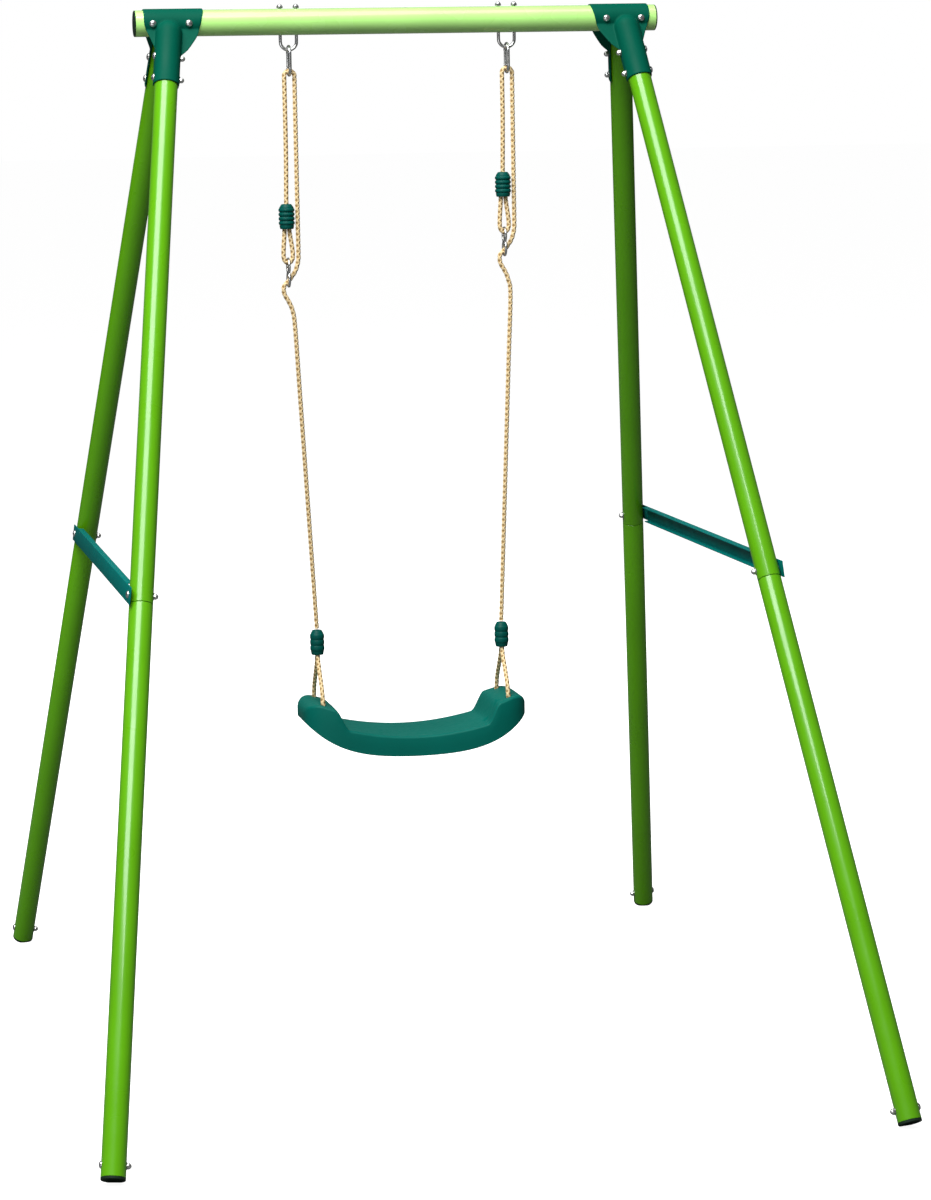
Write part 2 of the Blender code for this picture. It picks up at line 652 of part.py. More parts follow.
def make_upper_barrel(word, x):
    """Ribbed barrel: a wide bore for two strands below, a narrow neck for one above."""
    outline = barrel_outline(BARREL_R, BARREL_LENGTH, 4)
    half = BARREL_LENGTH / 2
    wide, neck = 2 * ROPE_R + 0.0014, ROPE_R + 0.0013
    profile = outline + [(wide, -half), (wide, half * 0.30), (neck, half * 0.72), (neck, half)]
    centre = (x + BARREL_X, 0, UPPER_BARREL_Z[word])
    barrel = turned(f"upper_barrel_{word}", profile, centre, (0, 0, 1), steps=BARREL_SIDES, closed=True)
    finish(barrel, "barrel")


def make_lower_barrel(word, x):
    """Ribbed barrel: a bore for two strands below and a cup for the main rope's end above."""
    outline = barrel_outline(LOWER_BARREL_R, LOWER_BARREL_LENGTH, 3)
    half = LOWER_BARREL_LENGTH / 2
    wide = 2 * ROPE_R + 0.0008
    cup = [(0, half + ROPE_END_RISE - (ROPE_R + 0.0006)), (0.0034, half - 0.0010), (ROPE_R + 0.0006, half)]
    profile = cup + outline + [(wide, -half), (wide, half * 0.30), (0, half * 0.45)]
    centre = (x, 0, LOWER_BARREL_TOP_Z - half)
    finish(turned(f"lower_barrel_{word}", profile, centre, (0, 0, 1), steps=BARREL_SIDES), "barrel",
           pivot=(x, 0, LOWER_BARREL_TOP_Z + ROPE_END_RISE))


def seat_top(x, y):
    """Height of the seat's upper face: a shallow arc with raised, rounded ends."""
    rise = min(max((abs(x) - HUMP_START_X) / (HUMP_END_X - HUMP_START_X), 0.0), 1.0)
    hump = HUMP_HEIGHT * rise * rise * (3 - 2 * rise)
    tip = min(max((abs(x) - TIP_START_X) / (TIP_END_X - TIP_START_X), 0.0), 1.0)
    drop = TIP_DROP * (1 - math.sqrt(1 - tip * tip))
    return SEAT_TOP_Z + PAN_CURVE * x * x + hump - drop + PAN_CROWN * (1 - (y / SEAT_HALF_Y) ** 2)


def seat_bottom(x):
    """Height of the rim's lower edge: nearly level in the middle, sweeping up to the tips."""
    return SEAT_BOTTOM_Z + RIM_CURVE * x * x + RIM_SWEEP * x ** 4


def make_seat():
    """A moulded shell: an open sheet with a turned-down rim, thickened, then drilled for the ropes."""
    columns, rows = 26, 8
    bm = bmesh.new()
    bmesh.ops.create_grid(bm, x_segments=columns, y_segments=rows, size=1.0)
    power = 4.5
    for vertex in bm.verts:
        i = round((vertex.co.x + 1) / 2 * columns)
        j = round((vertex.co.y + 1) / 2 * rows)
        ring = min(i, columns - i, j, rows - j)
        u = (i - columns / 2) / (columns / 2 - 1)
        v = (j - rows / 2) / (rows / 2 - 1)
        u, v = max(-1.0, min(1.0, u)), max(-1.0, min(1.0, v))
        reach = max(abs(u), abs(v))
        spread = (abs(u) ** power + abs(v) ** power) ** (1 / power)
        scale = reach / spread if spread else 1.0
        if ring == 1:
            scale *= 0.985
        x, y = SEAT_HALF_X * u * scale, SEAT_HALF_Y * v * scale
        top = seat_top(x, y)
        bottom = min(seat_bottom(x), top - 0.006)
        z = bottom if ring == 0 else top
        vertex.co = (x, y, z)
    seat = to_object("seat", bm)
    if sum(face.normal.z for face in seat.data.polygons) < 0:
        seat.data.flip_normals()
    thick = seat.modifiers.new("thickness", "SOLIDIFY")
    thick.thickness = SEAT_WALL
    thick.offset = -1.0
    thick.use_even_offset = True
    seat = frozen(seat)
    holes = [rod("hole", (side * HOLE_X, row * HOLE_Y, 0.56), (side * HOLE_X, row * HOLE_Y, 0.66),
                 HOLE_R, sides=12) for side in (-1, 1) for row in (-1, 1)]
    pivot = (0, 0, LOWER_BARREL_TOP_Z + ROPE_END_RISE)
    return finish(cut(seat, *holes), "seat", pivot=pivot, smooth_angle=50)


def seat_rope_route(x):
    """From the lower barrel to the front hole, under the seat and back up through the rear hole."""
    top = LOWER_BARREL_TOP_Z - 0.020
    mouth = LOWER_BARREL_TOP_Z - LOWER_BARREL_LENGTH
    rim = seat_top(x, HOLE_Y)
    floor = rim - SEAT_WALL - SEAT_ROPE_FLOOR
    front = [(-STRAND_HALF, top), (-STRAND_HALF, mouth + 0.010), (-0.0050, mouth - 0.003),
             (-0.0105, mouth - 0.016), (-0.024, mouth - 0.034),
             (-0.046, rim + 0.026), (-HOLE_Y + 0.0012, rim + 0.007), (-HOLE_Y, rim),
             (-HOLE_Y + 0.0008, rim - 0.006), (-0.046, floor - 0.002), (-0.030, floor - 0.006),
             (0, floor - 0.007)]
    rear = [(-y, z) for y, z in front[-2::-1]]
    return [(x, y, z) for y, z in (*front, *rear)]


def make_seat_rope(word, x):
    """The front half of the rope, and its mirror image behind."""
    path = smooth_path(seat_rope_route(x), ROPE_R * 1.2)
    front = thinned(path[:len(path) // 2], turn_limit=11.0)
    path = [*front, *(Vector((point.x, -point.y, point.z)) for point in reversed(front))]
    finish(wire(f"seat_rope_{word}", path, ROPE_R, resolution=2), "rope",
           pivot=(x, 0, LOWER_BARREL_TOP_Z + ROPE_END_RISE))


def main():
    global MODEL
    clear_scene()
    MODEL = collection("swing_set")
    make_beam()
    for leg in LEGS:
        make_bracket(leg)
        make_leg(leg)
    for side in (-1, 1):
        make_brace(side)
    make_frame_bolts()
    for word, side in (("left", -1), ("right", 1)):
        hook = side * HOOK_X
        make_u_bolt(word, hook)
        make_snap_hook(word, hook)
        make_rope(word, hook)
        make_adjuster(word, hook)
        make_upper_barrel(word, hook)
        make_lower_barrel(word, side * HOLE_X)
        make_seat_rope(word, side * HOLE_X)
    make_seat()


main()
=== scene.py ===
"""Looks of the single child's swing: smooth tubes, pressed brackets, braided ropes, moulded seat."""
import json
import math

import bmesh
import bpy
import numpy as np
from mathutils import Matrix, Vector


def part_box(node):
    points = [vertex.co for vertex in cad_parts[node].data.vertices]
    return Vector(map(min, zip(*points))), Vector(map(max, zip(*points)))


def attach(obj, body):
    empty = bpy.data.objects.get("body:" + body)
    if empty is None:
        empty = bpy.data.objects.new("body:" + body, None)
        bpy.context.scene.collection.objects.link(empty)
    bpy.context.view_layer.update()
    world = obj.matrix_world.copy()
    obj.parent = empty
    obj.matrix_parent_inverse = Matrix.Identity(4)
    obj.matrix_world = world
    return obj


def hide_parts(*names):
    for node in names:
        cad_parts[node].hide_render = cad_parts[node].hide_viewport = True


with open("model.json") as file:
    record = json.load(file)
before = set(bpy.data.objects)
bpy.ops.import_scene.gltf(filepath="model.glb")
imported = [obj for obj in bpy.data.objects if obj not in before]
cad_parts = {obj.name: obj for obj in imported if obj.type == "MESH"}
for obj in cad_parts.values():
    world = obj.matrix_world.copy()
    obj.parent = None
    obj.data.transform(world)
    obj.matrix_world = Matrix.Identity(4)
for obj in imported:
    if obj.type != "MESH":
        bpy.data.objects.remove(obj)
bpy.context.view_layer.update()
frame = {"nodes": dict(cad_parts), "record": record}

SLOT_OF = {part["node"]: part["material_slot"] for part in frame["record"]["subparts"]}
BODY_OF = {node: body for body, nodes in frame["record"]["behaviour"]["bodies"].items() for node in nodes}
SIDES = (("left", -1), ("right", 1))
CORNERS = [(f"{word}_{row}", side, way) for word, side in SIDES for row, way in (("front", -1), ("rear", 1))]


# ---------------------------------------------------------------- dimensions

def cad_points(node):
    mesh = frame["nodes"][node].data
    points = np.empty(len(mesh.vertices) * 3, np.float32)
    mesh.vertices.foreach_get("co", points)
    return points.reshape(-1, 3).astype(float)


def spine(node, slack=0.0008):
    """Both end centres and the largest radius of a CAD piece that is round about its longest line."""
    points = cad_points(node)
    middle = points.mean(axis=0)
    _, _, axes = np.linalg.svd(points - middle, full_matrices=False)
    line = axes[0]
    run = (points - middle) @ line
    ends = [points[run < run.min() + slack].mean(axis=0), points[run > run.max() - slack].mean(axis=0)]
    line = (ends[1] - ends[0]) / np.linalg.norm(ends[1] - ends[0])
    offset = points - ends[0]
    radial = offset - np.outer(offset @ line, line)
    return Vector(ends[0]), Vector(ends[1]), float(np.linalg.norm(radial, axis=1).max())


GAP = 0.0003
BEAM_LOW, BEAM_HIGH = (Vector(corner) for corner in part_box("beam"))
BEAM_R = (BEAM_HIGH.z - BEAM_LOW.z) / 2
BEAM_Z = (BEAM_HIGH.z + BEAM_LOW.z) / 2
WALL = 0.0015
SHEET = 0.0025
U_LOW, U_HIGH = (Vector(corner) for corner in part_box("u_bolt_right"))
HOOK_X = (U_LOW.x + U_HIGH.x) / 2
HOOK_LOW, HOOK_HIGH = (Vector(corner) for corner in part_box("snap_hook_right"))
HOOK_WIRE_R = (HOOK_HIGH.x - HOOK_LOW.x) / 2
LOWER_LOW, LOWER_HIGH = (Vector(corner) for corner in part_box("lower_barrel_right"))
HOLE_X = (LOWER_LOW.x + LOWER_HIGH.x) / 2

# legs, braces and brackets; the channel's dome starts 12 mm below the CAD's, nearer to the real one
LEG_R = 0.021
SEAM_Z = 0.897
BRACE_Z = 0.912
BRACE_SHEET = 0.002
BRACE_HALF_HEIGHT = 0.015
BRACE_LIP = 0.010
BRACE_FLANGE_HALF_Y = 0.455
BRACKET_FOOT_Z = 1.787
BRACKET_HEAD_Z = 1.881
FOLD_DROP = 0.011

# fasteners and hooks
BOLT_HEAD = 0.0040
BOLT_NUT = 0.0085
BOLT_SHANK_R = 0.0030
BOLT_HEAD_R = 0.0066
WASHER_R = 0.0064
U_BOLT_WIRE_R = 0.0030
U_BOLT_HALF = 0.0150
HOOK_BEND_R = 0.0140
GATE_R = 0.0025

# rope routes, as the CAD has them
ROPE_R = 0.0043
LOOP_HALF = 0.0095
ROPE_TOP_Z = 1.8109
BARREL_X = -0.0110
BARREL_LENGTH = 0.046
UPPER_BARREL_Z = {"left": 1.544, "right": 1.595}
EYE_Z = {"left": 1.4583, "right": 1.5063}
STRAND_HALF = 0.0046
LOWER_BARREL_LENGTH = 0.047
LOWER_BARREL_TOP_Z = 0.7700
ROPE_END_RISE = 0.0022
PLAIT_PITCH = 0.0105
UPPER_BARREL_R = 0.0150
LOWER_BARREL_R = 0.0135

# seat, as the CAD has it
HOLE_Y = 0.055
HOLE_R = 0.0062
SEAT_WALL = 0.0035
SEAT_ROPE_FLOOR = 0.0100
SEAT_HALF_X = 0.213
SEAT_HALF_Y = 0.088
SEAT_TOP_Z = 0.5720
SEAT_BOTTOM_Z = 0.5350
PAN_CURVE = 0.95
PAN_CROWN = 0.0015
HUMP_START_X = 0.131
HUMP_END_X = 0.157
HUMP_HEIGHT = 0.032
TIP_START_X = 0.178
TIP_END_X = 0.215
TIP_DROP = 0.040
RIM_CURVE = 0.53
RIM_SWEEP = 22.0

# ribs under the seat, which the CAD leaves out
RIB_DEPTH = 0.012
RIB_HALF_THICK = 0.0010
LONG_RIB_HALF_X = 0.13
LONG_RIBS_Y = (-0.045, 0.0, 0.045)
CROSS_RIBS_X = (-0.115, -0.0575, 0.0, 0.0575, 0.115)


# ---------------------------------------------------------------- mesh helpers

def arc(centre, radius, start, end, count):
    """Points (a, b) on an arc about centre, from one angle in degrees to another."""
    for i in range(count + 1):
        angle = math.radians(start + (end - start) * i / count)
        yield centre[0] + radius * math.cos(angle), centre[1] + radius * math.sin(angle)


def link(name, mesh):
    obj = bpy.data.objects.new(name, mesh)
    bpy.context.scene.collection.objects.link(obj)
    return obj


def mesh_object(name, verts, faces):
    mesh = bpy.data.meshes.new(name)
    mesh.from_pydata([tuple(vert) for vert in verts], [], faces)
    return link(name, face_out(mesh))


def face_out(mesh):
    """Weld the mesh and turn its faces to point out."""
    bm = bmesh.new()
    bm.from_mesh(mesh)
    bmesh.ops.remove_doubles(bm, verts=bm.verts, dist=1e-7)
    bmesh.ops.recalc_face_normals(bm, faces=bm.faces)
    if bm.calc_volume(signed=True) < 0:
        bmesh.ops.reverse_faces(bm, faces=bm.faces)
    bm.to_mesh(mesh)
    bm.free()
    return mesh


def smooth(obj, angle=35):
    obj.data.shade_smooth()
    obj.data.set_sharp_from_angle(angle=math.radians(angle))
    return obj


def axis_matrix(start, direction):
    turn = Vector(direction).to_track_quat("Z", "Y").to_matrix().to_4x4()
    return Matrix.Translation(start) @ turn


def lathe(name, profile, start, direction, sides=48, closed=False):
    """Turn (radius, height) points about the line that leaves start along direction."""
    place = axis_matrix(start, direction)
    ring = [(math.cos(math.tau * k / sides), math.sin(math.tau * k / sides)) for k in range(sides)]
    verts = [place @ Vector((radius * x, radius * y, height)) for radius, height in profile for x, y in ring]
    rows = len(profile) if closed else len(profile) - 1
    faces = []
    for i in range(rows):
        j = (i + 1) % len(profile)
        for k in range(sides):
            n = (k + 1) % sides
            faces.append((i * sides + k, i * sides + n, j * sides + n, j * sides + k))
    mesh = bpy.data.meshes.new(name)
    mesh.from_pydata(verts, [], faces)
    bm = bmesh.new()
    bm.from_mesh(mesh)
    bmesh.ops.remove_doubles(bm, verts=bm.verts, dist=1e-7)
    bmesh.ops.dissolve_degenerate(bm, edges=bm.edges, dist=1e-8)
    bm.to_mesh(mesh)
    bm.free()
    return smooth(link(name, face_out(mesh)))


def sweep(name, path, radius, sides=16, cyclic=False, relief=None):
    """A tube along a path. relief(angle, run) scales the radius, as for a braid."""
    path = [Vector(point) for point in path]
    count = len(path)
    if cyclic:
        tangents = [(path[(i + 1) % count] - path[i - 1]).normalized() for i in range(count)]
    else:
        tangents = [(path[min(i + 1, count - 1)] - path[max(i - 1, 0)]).normalized() for i in range(count)]
    normal = tangents[0].orthogonal().normalized()
    verts, heights, run = [], [], 0.0
    for i, (point, tangent) in enumerate(zip(path, tangents)):
        normal = (normal - tangent * normal.dot(tangent)).normalized()
        side = tangent.cross(normal)
        if i:
            run += (point - path[i - 1]).length
        for k in range(sides):
            angle = math.tau * k / sides
            height = relief(angle, run) if relief else 1.0
            heights.append(height)
            verts.append(point + (normal * math.cos(angle) + side * math.sin(angle)) * radius * height)
    faces = []
    for i in range(count if cyclic else count - 1):
        j = (i + 1) % count
        shift = closing_shift(verts, sides) if cyclic and j == 0 else 0
        for k in range(sides):
            n = (k + 1) % sides
            faces.append((i * sides + k, i * sides + n, j * sides + (n + shift) % sides,
                          j * sides + (k + shift) % sides))
    if not cyclic:
        faces.append(tuple(reversed(range(sides))))
        faces.append(tuple(range((count - 1) * sides, count * sides)))
    obj = mesh_object(name, verts, faces)
    if relief:
        # the relief heights are kept as the mask for the rope's painted shade in the gaps between yarns
        layer = obj.data.attributes.new("braid", "FLOAT", "POINT")
        layer.data.foreach_set("value", np.array(heights, np.float32)[:len(obj.data.vertices)])
    return smooth(obj, 50)


def closing_shift(verts, sides):
    """How far round the last ring of a closed sweep the first ring's start lies."""
    last = verts[-sides]
    return min(range(sides), key=lambda k: (verts[k] - last).length)


def prism(name, outline, thickness, place):
    """A flat outline given thickness, centred, then moved by a matrix."""
    half = thickness / 2
    count = len(outline)
    verts = [place @ Vector((x, y, z)) for z in (-half, half) for x, y in outline]
    faces = [tuple(reversed(range(count))), tuple(range(count, 2 * count))]
    faces += [(i, (i + 1) % count, count + (i + 1) % count, count + i) for i in range(count)]
    return mesh_object(name, verts, faces)


def block(name, low, high, place):
    low, high = Vector(low), Vector(high)
    outline = [(low.x, low.y), (high.x, low.y), (high.x, high.y), (low.x, high.y)]
    return prism(name, outline, high.z - low.z, place @ Matrix.Translation((0, 0, (low.z + high.z) / 2)))


def apply_all(obj):
    """Turn the object's modifiers into plain mesh."""
    graph = bpy.context.evaluated_depsgraph_get()
    mesh = bpy.data.meshes.new_from_object(obj.evaluated_get(graph))
    obj.modifiers.clear()
    obj.data = mesh
    return obj


def combine(target, tools, operation, solver="MANIFOLD"):
    """Union with, or difference from, a list of solids, which are used up."""
    for tool in tools:
        modifier = target.modifiers.new(operation, "BOOLEAN")
        modifier.object = tool
        modifier.operation = operation
        modifier.solver = solver
    apply_all(target)
    for tool in tools:
        bpy.data.objects.remove(tool, do_unlink=True)
    return target


def remesh(obj, voxel, rounds):
    """Even skin with small fillets, as on pressed sheet or a moulding."""
    modifier = obj.modifiers.new("skin", "REMESH")
    modifier.mode = "VOXEL"
    modifier.voxel_size = voxel
    softer = obj.modifiers.new("fillets", "SMOOTH")
    softer.factor = 0.5
    softer.iterations = rounds
    apply_all(obj)
    obj.data.shade_smooth()
    return obj


def smooth_path(points, spacing):
    """Evenly spaced points on a smooth curve (Catmull-Rom) through the given points."""
    points = [Vector(point) for point in points]
    ends = [2 * points[0] - points[1], *points, 2 * points[-1] - points[-2]]
    dense = []
    for i in range(1, len(ends) - 2):
        before, start, end, after = ends[i - 1:i + 3]
        for step in range(24):
            t = step / 24
            dense.append(0.5 * (2 * start + (end - before) * t
                                + (2 * before - 5 * start + 4 * end - after) * t * t
                                + (3 * start - before - 3 * end + after) * t ** 3))
    dense.append(points[-1])
    total = sum((b - a).length for a, b in zip(dense, dense[1:]))
    count = max(2, round(total / spacing))
    path, run, wanted = [dense[0]], 0.0, total / count
    for a, b in zip(dense, dense[1:]):
        length = (b - a).length
        while run + length >= wanted - 1e-9 and len(path) < count:
            path.append(a.lerp(b, (wanted - run) / length))
            wanted += total / count
        run += length
    return [*path, dense[-1]]


# ---------------------------------------------------------------- materials

def new_material(name, base, roughness, metallic=0.0, coat=0.0, coat_roughness=0.05, specular=0.5):
    made = bpy.data.materials.new(name)
    made.use_nodes = True
    shader = made.node_tree.nodes["Principled BSDF"]
    shader.inputs["Base Color"].default_value = (*base, 1)
    shader.inputs["Roughness"].default_value = roughness
    shader.inputs["Metallic"].default_value = metallic
    shader.inputs["Coat Weight"].default_value = coat
    shader.inputs["Coat Roughness"].default_value = coat_roughness
    shader.inputs["Specular IOR Level"].default_value = specular
    return made, made.node_tree, shader


def noise(tree, scale, detail=2.0, roughness=0.5):
    place = tree.nodes.new("ShaderNodeTexCoord")
    made = tree.nodes.new("ShaderNodeTexNoise")
    made.inputs["Scale"].default_value = scale
    made.inputs["Detail"].default_value = detail
    made.inputs["Roughness"].default_value = roughness
    tree.links.new(place.outputs["Object"], made.inputs["Vector"])
    return made.outputs["Fac"]


def ramp(tree, value, low, high, low_at=0.3, high_at=0.7):
    """Blend two colours by a value."""
    made = tree.nodes.new("ShaderNodeValToRGB")
    first, last = made.color_ramp.elements
    first.position, first.color = low_at, (*low, 1)
    last.position, last.color = high_at, (*high, 1)
    tree.links.new(value, made.inputs["Fac"])
    return made.outputs["Color"]


def spread(tree, value, low, high):
    """Map a 0 to 1 value to a range."""
    made = tree.nodes.new("ShaderNodeMapRange")
    made.inputs["From Min"].default_value = 0.3
    made.inputs["From Max"].default_value = 0.7
    made.inputs["To Min"].default_value = low
    made.inputs["To Max"].default_value = high
    tree.links.new(value, made.inputs["Value"])
    return made.outputs["Result"]


def bump(tree, shader, height, strength, distance):
    made = tree.nodes.new("ShaderNodeBump")
    made.inputs["Strength"].default_value = strength
    made.inputs["Distance"].default_value = distance
    tree.links.new(height, made.inputs["Height"])
    tree.links.new(made.outputs["Normal"], shader.inputs["Normal"])


def shade(colour, factor):
    return tuple(min(1.0, channel * factor) for channel in colour)


def powder_coat(name, colour, roughness, coat, specular=0.25):
    """Glossy baked paint: slight orange peel, faint uneven colour and gloss."""
    made, tree, shader = new_material(name, colour, roughness, coat=coat, coat_roughness=0.08,
                                      specular=specular)
    tint = ramp(tree, noise(tree, 7.0), shade(colour, 0.95), shade(colour, 1.04))
    tree.links.new(tint, shader.inputs["Base Color"])
    gloss = spread(tree, noise(tree, 16.0), roughness * 0.85, roughness * 1.2)
    tree.links.new(gloss, shader.inputs["Roughness"])
    bump(tree, shader, noise(tree, 420.0, detail=3.0), 0.10, 0.0004)
    return made


def moulded(name, colour, roughness, grain):
    """Moulded plastic with a fine grain."""
    made, tree, shader = new_material(name, colour, roughness, specular=0.10)
    tint = ramp(tree, noise(tree, 9.0), shade(colour, 0.95), shade(colour, 1.05))
    tree.links.new(tint, shader.inputs["Base Color"])
    gloss = spread(tree, noise(tree, 120.0), roughness * 0.93, roughness * 1.07)
    tree.links.new(gloss, shader.inputs["Roughness"])
    bump(tree, shader, noise(tree, grain, detail=4.0, roughness=0.65), 0.22, 0.0003)
    return made


def zinc_plate(name):
    """Bright zinc: metal with a faint yellowish and bluish cloud and fine scratches."""
    made, tree, shader = new_material(name, (0.66, 0.67, 0.70), 0.20, metallic=0.95)
    tint = ramp(tree, noise(tree, 60.0, detail=4.0), (0.60, 0.62, 0.66), (0.76, 0.75, 0.72))
    tree.links.new(tint, shader.inputs["Base Color"])
    gloss = spread(tree, noise(tree, 190.0, detail=5.0), 0.16, 0.30)
    tree.links.new(gloss, shader.inputs["Roughness"])
    bump(tree, shader, noise(tree, 700.0), 0.08, 0.0002)
    return made


def braided(name, light, gap_shade):
    """Plaited fibre: light yarns, painted shade in the gaps between them, fine fibre lines."""
    made, tree, shader = new_material(name, light, 0.75, specular=0.25)
    layer = tree.nodes.new("ShaderNodeAttribute")
    layer.attribute_name = "braid"
    # painted shade: the low parts of the braid's relief, the gaps between the yarns, get the dark colour
    yarn_and_gap_shade = ramp(tree, layer.outputs["Fac"], gap_shade, light, low_at=0.80, high_at=0.95)
    fibre = ramp(tree, noise(tree, 900.0, detail=3.0), shade((1, 1, 1), 0.82), (1, 1, 1))
    mix = tree.nodes.new("ShaderNodeMix")
    mix.data_type = "RGBA"
    mix.blend_type = "MULTIPLY"
    mix.inputs["Factor"].default_value = 1.0
    tree.links.new(yarn_and_gap_shade, mix.inputs["A"])
    tree.links.new(fibre, mix.inputs["B"])
    tree.links.new(mix.outputs["Result"], shader.inputs["Base Color"])
    bump(tree, shader, noise(tree, 1500.0, detail=3.0), 0.35, 0.0003)
    return made


MATERIALS = {
    "beam_paint": powder_coat("beam_paint", (0.410, 0.780, 0.215), 0.26, 1.0, specular=0.50),
    "leg_paint": powder_coat("leg_paint", (0.088, 0.320, 0.002), 0.30, 0.35),
    "bracket_paint": powder_coat("bracket_paint", (0.000, 0.070, 0.043), 0.50, 0.0, specular=0.04),
    "brace_paint": powder_coat("brace_paint", (0.000, 0.130, 0.118), 0.50, 0.0, specular=0.05),
    "black_plastic": moulded("black_plastic", (0.010, 0.022, 0.014), 0.5, 600.0),
    "zinc": zinc_plate("zinc"),
    "barrel_plastic": moulded("barrel_plastic", (0.000, 0.064, 0.052), 0.45, 500.0),
    "seat_plastic": moulded("seat_plastic", (0.000, 0.103, 0.080), 0.50, 450.0),
    # the rope's second colour is painted shade for the gaps between the yarns
    "rope": braided("rope", (0.76, 0.590, 0.330), (0.32, 0.190, 0.062)),
}


def stand_in(piece, node):
    """The piece stands for a CAD node: it rides on that node's body and has its slot and material."""
    piece.data.materials.clear()
    piece.data.materials.append(MATERIALS[SLOT_OF[node]])
    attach(piece, BODY_OF[node])
    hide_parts(node)
    return piece


# ---------------------------------------------------------------- camera

def make_camera():
    """The eye is left of the swing's middle, a little below the beam, far off with a long lens."""
    eye = (-1.2285, -6.8347, 1.7127)
    yaw, pitch, roll = 0.1932, -0.1283, -0.0177
    sensor_mm, lens_mm = 36, 111.26
    look = Vector((math.sin(yaw) * math.cos(pitch), math.cos(yaw) * math.cos(pitch), math.sin(pitch)))
    right = Vector((math.cos(yaw), -math.sin(yaw), 0))
    up = right.cross(look)
    right, up = (right * math.cos(roll) + up * math.sin(roll), up * math.cos(roll) - right * math.sin(roll))
    data = bpy.data.cameras.new("camera")
    data.sensor_width = sensor_mm
    data.lens = lens_mm
    camera = bpy.data.objects.new("camera", data)
    axes = Matrix((right, up, -look)).transposed().to_4x4()
    camera.matrix_world = Matrix.Translation(eye) @ axes
    bpy.context.scene.collection.objects.link(camera)
    bpy.context.scene.camera = camera


# ---------------------------------------------------------------- ropes

def rope_route(word, x):
    """The CAD's rope route: barrel, eye, barrel, top loop, adjuster, seat barrel."""
    side = -1 if word == "left" else 1
    barrel = UPPER_BARREL_Z[word]
    eye = EYE_Z[word]
    axis = x + BARREL_X
    half = BARREL_LENGTH / 2
    plane = axis + 0.0012
    route = [(axis + STRAND_HALF, barrel - 0.008), (axis + STRAND_HALF, barrel - half - 0.004),
             (plane + 0.0084, eye + 0.022), (plane + 0.0073, eye + 0.0062), (plane, eye),
             (plane - 0.0073, eye + 0.0062), (plane - 0.0084, eye + 0.022),
             (axis - STRAND_HALF, barrel - half - 0.004), (axis - STRAND_HALF, barrel - 0.004),
             (axis, barrel + half - 0.004), (axis, barrel + half + 0.010),
             (x - LOOP_HALF, barrel + 0.12), (x - LOOP_HALF, ROPE_TOP_Z - 0.03)]
    route += [(a, b) for a, b in arc((x, ROPE_TOP_Z - LOOP_HALF), LOOP_HALF, 180, 0, 6)]
    drop = eye - 0.0333
    route += [(x + LOOP_HALF, ROPE_TOP_Z - 0.03), (x + LOOP_HALF, barrel + 0.08), (x + LOOP_HALF, barrel),
              (x + LOOP_HALF, eye + 0.020), (x + 0.0085, eye + 0.003), (x + 0.0035, eye - 0.014),
              (x - 0.0045, drop + 0.0070), (plane, drop), (plane - 0.0090, drop - 0.0100),
              (plane - 0.0086, drop - 0.0240), (plane - 0.0010, drop - 0.0380), (x - 0.004, drop - 0.055),
              (x, drop - 0.085)]
    end_x = side * HOLE_X
    end_z = LOWER_BARREL_TOP_Z + ROPE_END_RISE
    start_z = drop - 0.085
    for t in (0.2, 0.4, 0.6, 0.8, 0.96, 1.0):
        route.append((x + (end_x - x) * t, start_z + (end_z - start_z) * t))
    return [(a, 0.0, b) for a, b in route]


def seat_top(x, y):
    """Height of the seat's upper face, as the CAD has it."""
    rise = min(max((abs(x) - HUMP_START_X) / (HUMP_END_X - HUMP_START_X), 0.0), 1.0)
    hump = HUMP_HEIGHT * rise * rise * (3 - 2 * rise)
    tip = min(max((abs(x) - TIP_START_X) / (TIP_END_X - TIP_START_X), 0.0), 1.0)
    drop = TIP_DROP * (1 - math.sqrt(1 - tip * tip))
    return SEAT_TOP_Z + PAN_CURVE * x * x + hump - drop + PAN_CROWN * (1 - (y / SEAT_HALF_Y) ** 2)


def seat_bottom(x):
    """Height of the rim's lower edge, as the CAD has it."""
    return SEAT_BOTTOM_Z + RIM_CURVE * x * x + RIM_SWEEP * x ** 4


def seat_rope_route(x):
    """The CAD's route from the lower barrel through both seat holes and back."""
    top = LOWER_BARREL_TOP_Z - 0.020
    mouth = LOWER_BARREL_TOP_Z - LOWER_BARREL_LENGTH
    rim = seat_top(x, HOLE_Y)
    floor = rim - SEAT_WALL - SEAT_ROPE_FLOOR
    front = [(-STRAND_HALF, top), (-STRAND_HALF, mouth + 0.010), (-0.0050, mouth - 0.003),
             (-0.0105, mouth - 0.016), (-0.024, mouth - 0.034), (-0.046, rim + 0.026),
             (-HOLE_Y + 0.0012, rim + 0.007), (-HOLE_Y, rim), (-HOLE_Y + 0.0008, rim - 0.006),
             (-0.046, floor - 0.002), (-0.030, floor - 0.006), (0, floor - 0.007)]
    rear = [(-y, z) for y, z in front[-2::-1]]
    return [(x, y, z) for y, z in (*front, *rear)]


def plait(angle, run):
    """Radius of a hollow plait: two sets of yarns that wind opposite ways over each other."""
    turn = math.pi * run / PLAIT_PITCH
    crest = max(abs(math.cos(angle + turn)), abs(math.cos(angle - turn)))
    low = math.sqrt(0.5)
    return 0.80 + 0.20 * (max(crest - low, 0.0) / (1 - low)) ** 0.6


def make_ropes():
    for word, side in SIDES:
        x = side * HOOK_X
        for name, route in ((f"rope_{word}", rope_route(word, x)),
                            (f"seat_rope_{word}", seat_rope_route(side * HOLE_X))):
            path = smooth_path(route, 0.0011)
            rope = stand_in(sweep(f"braided_{name}", path, ROPE_R, sides=24, relief=plait), name)


# ---------------------------------------------------------------- frame pieces

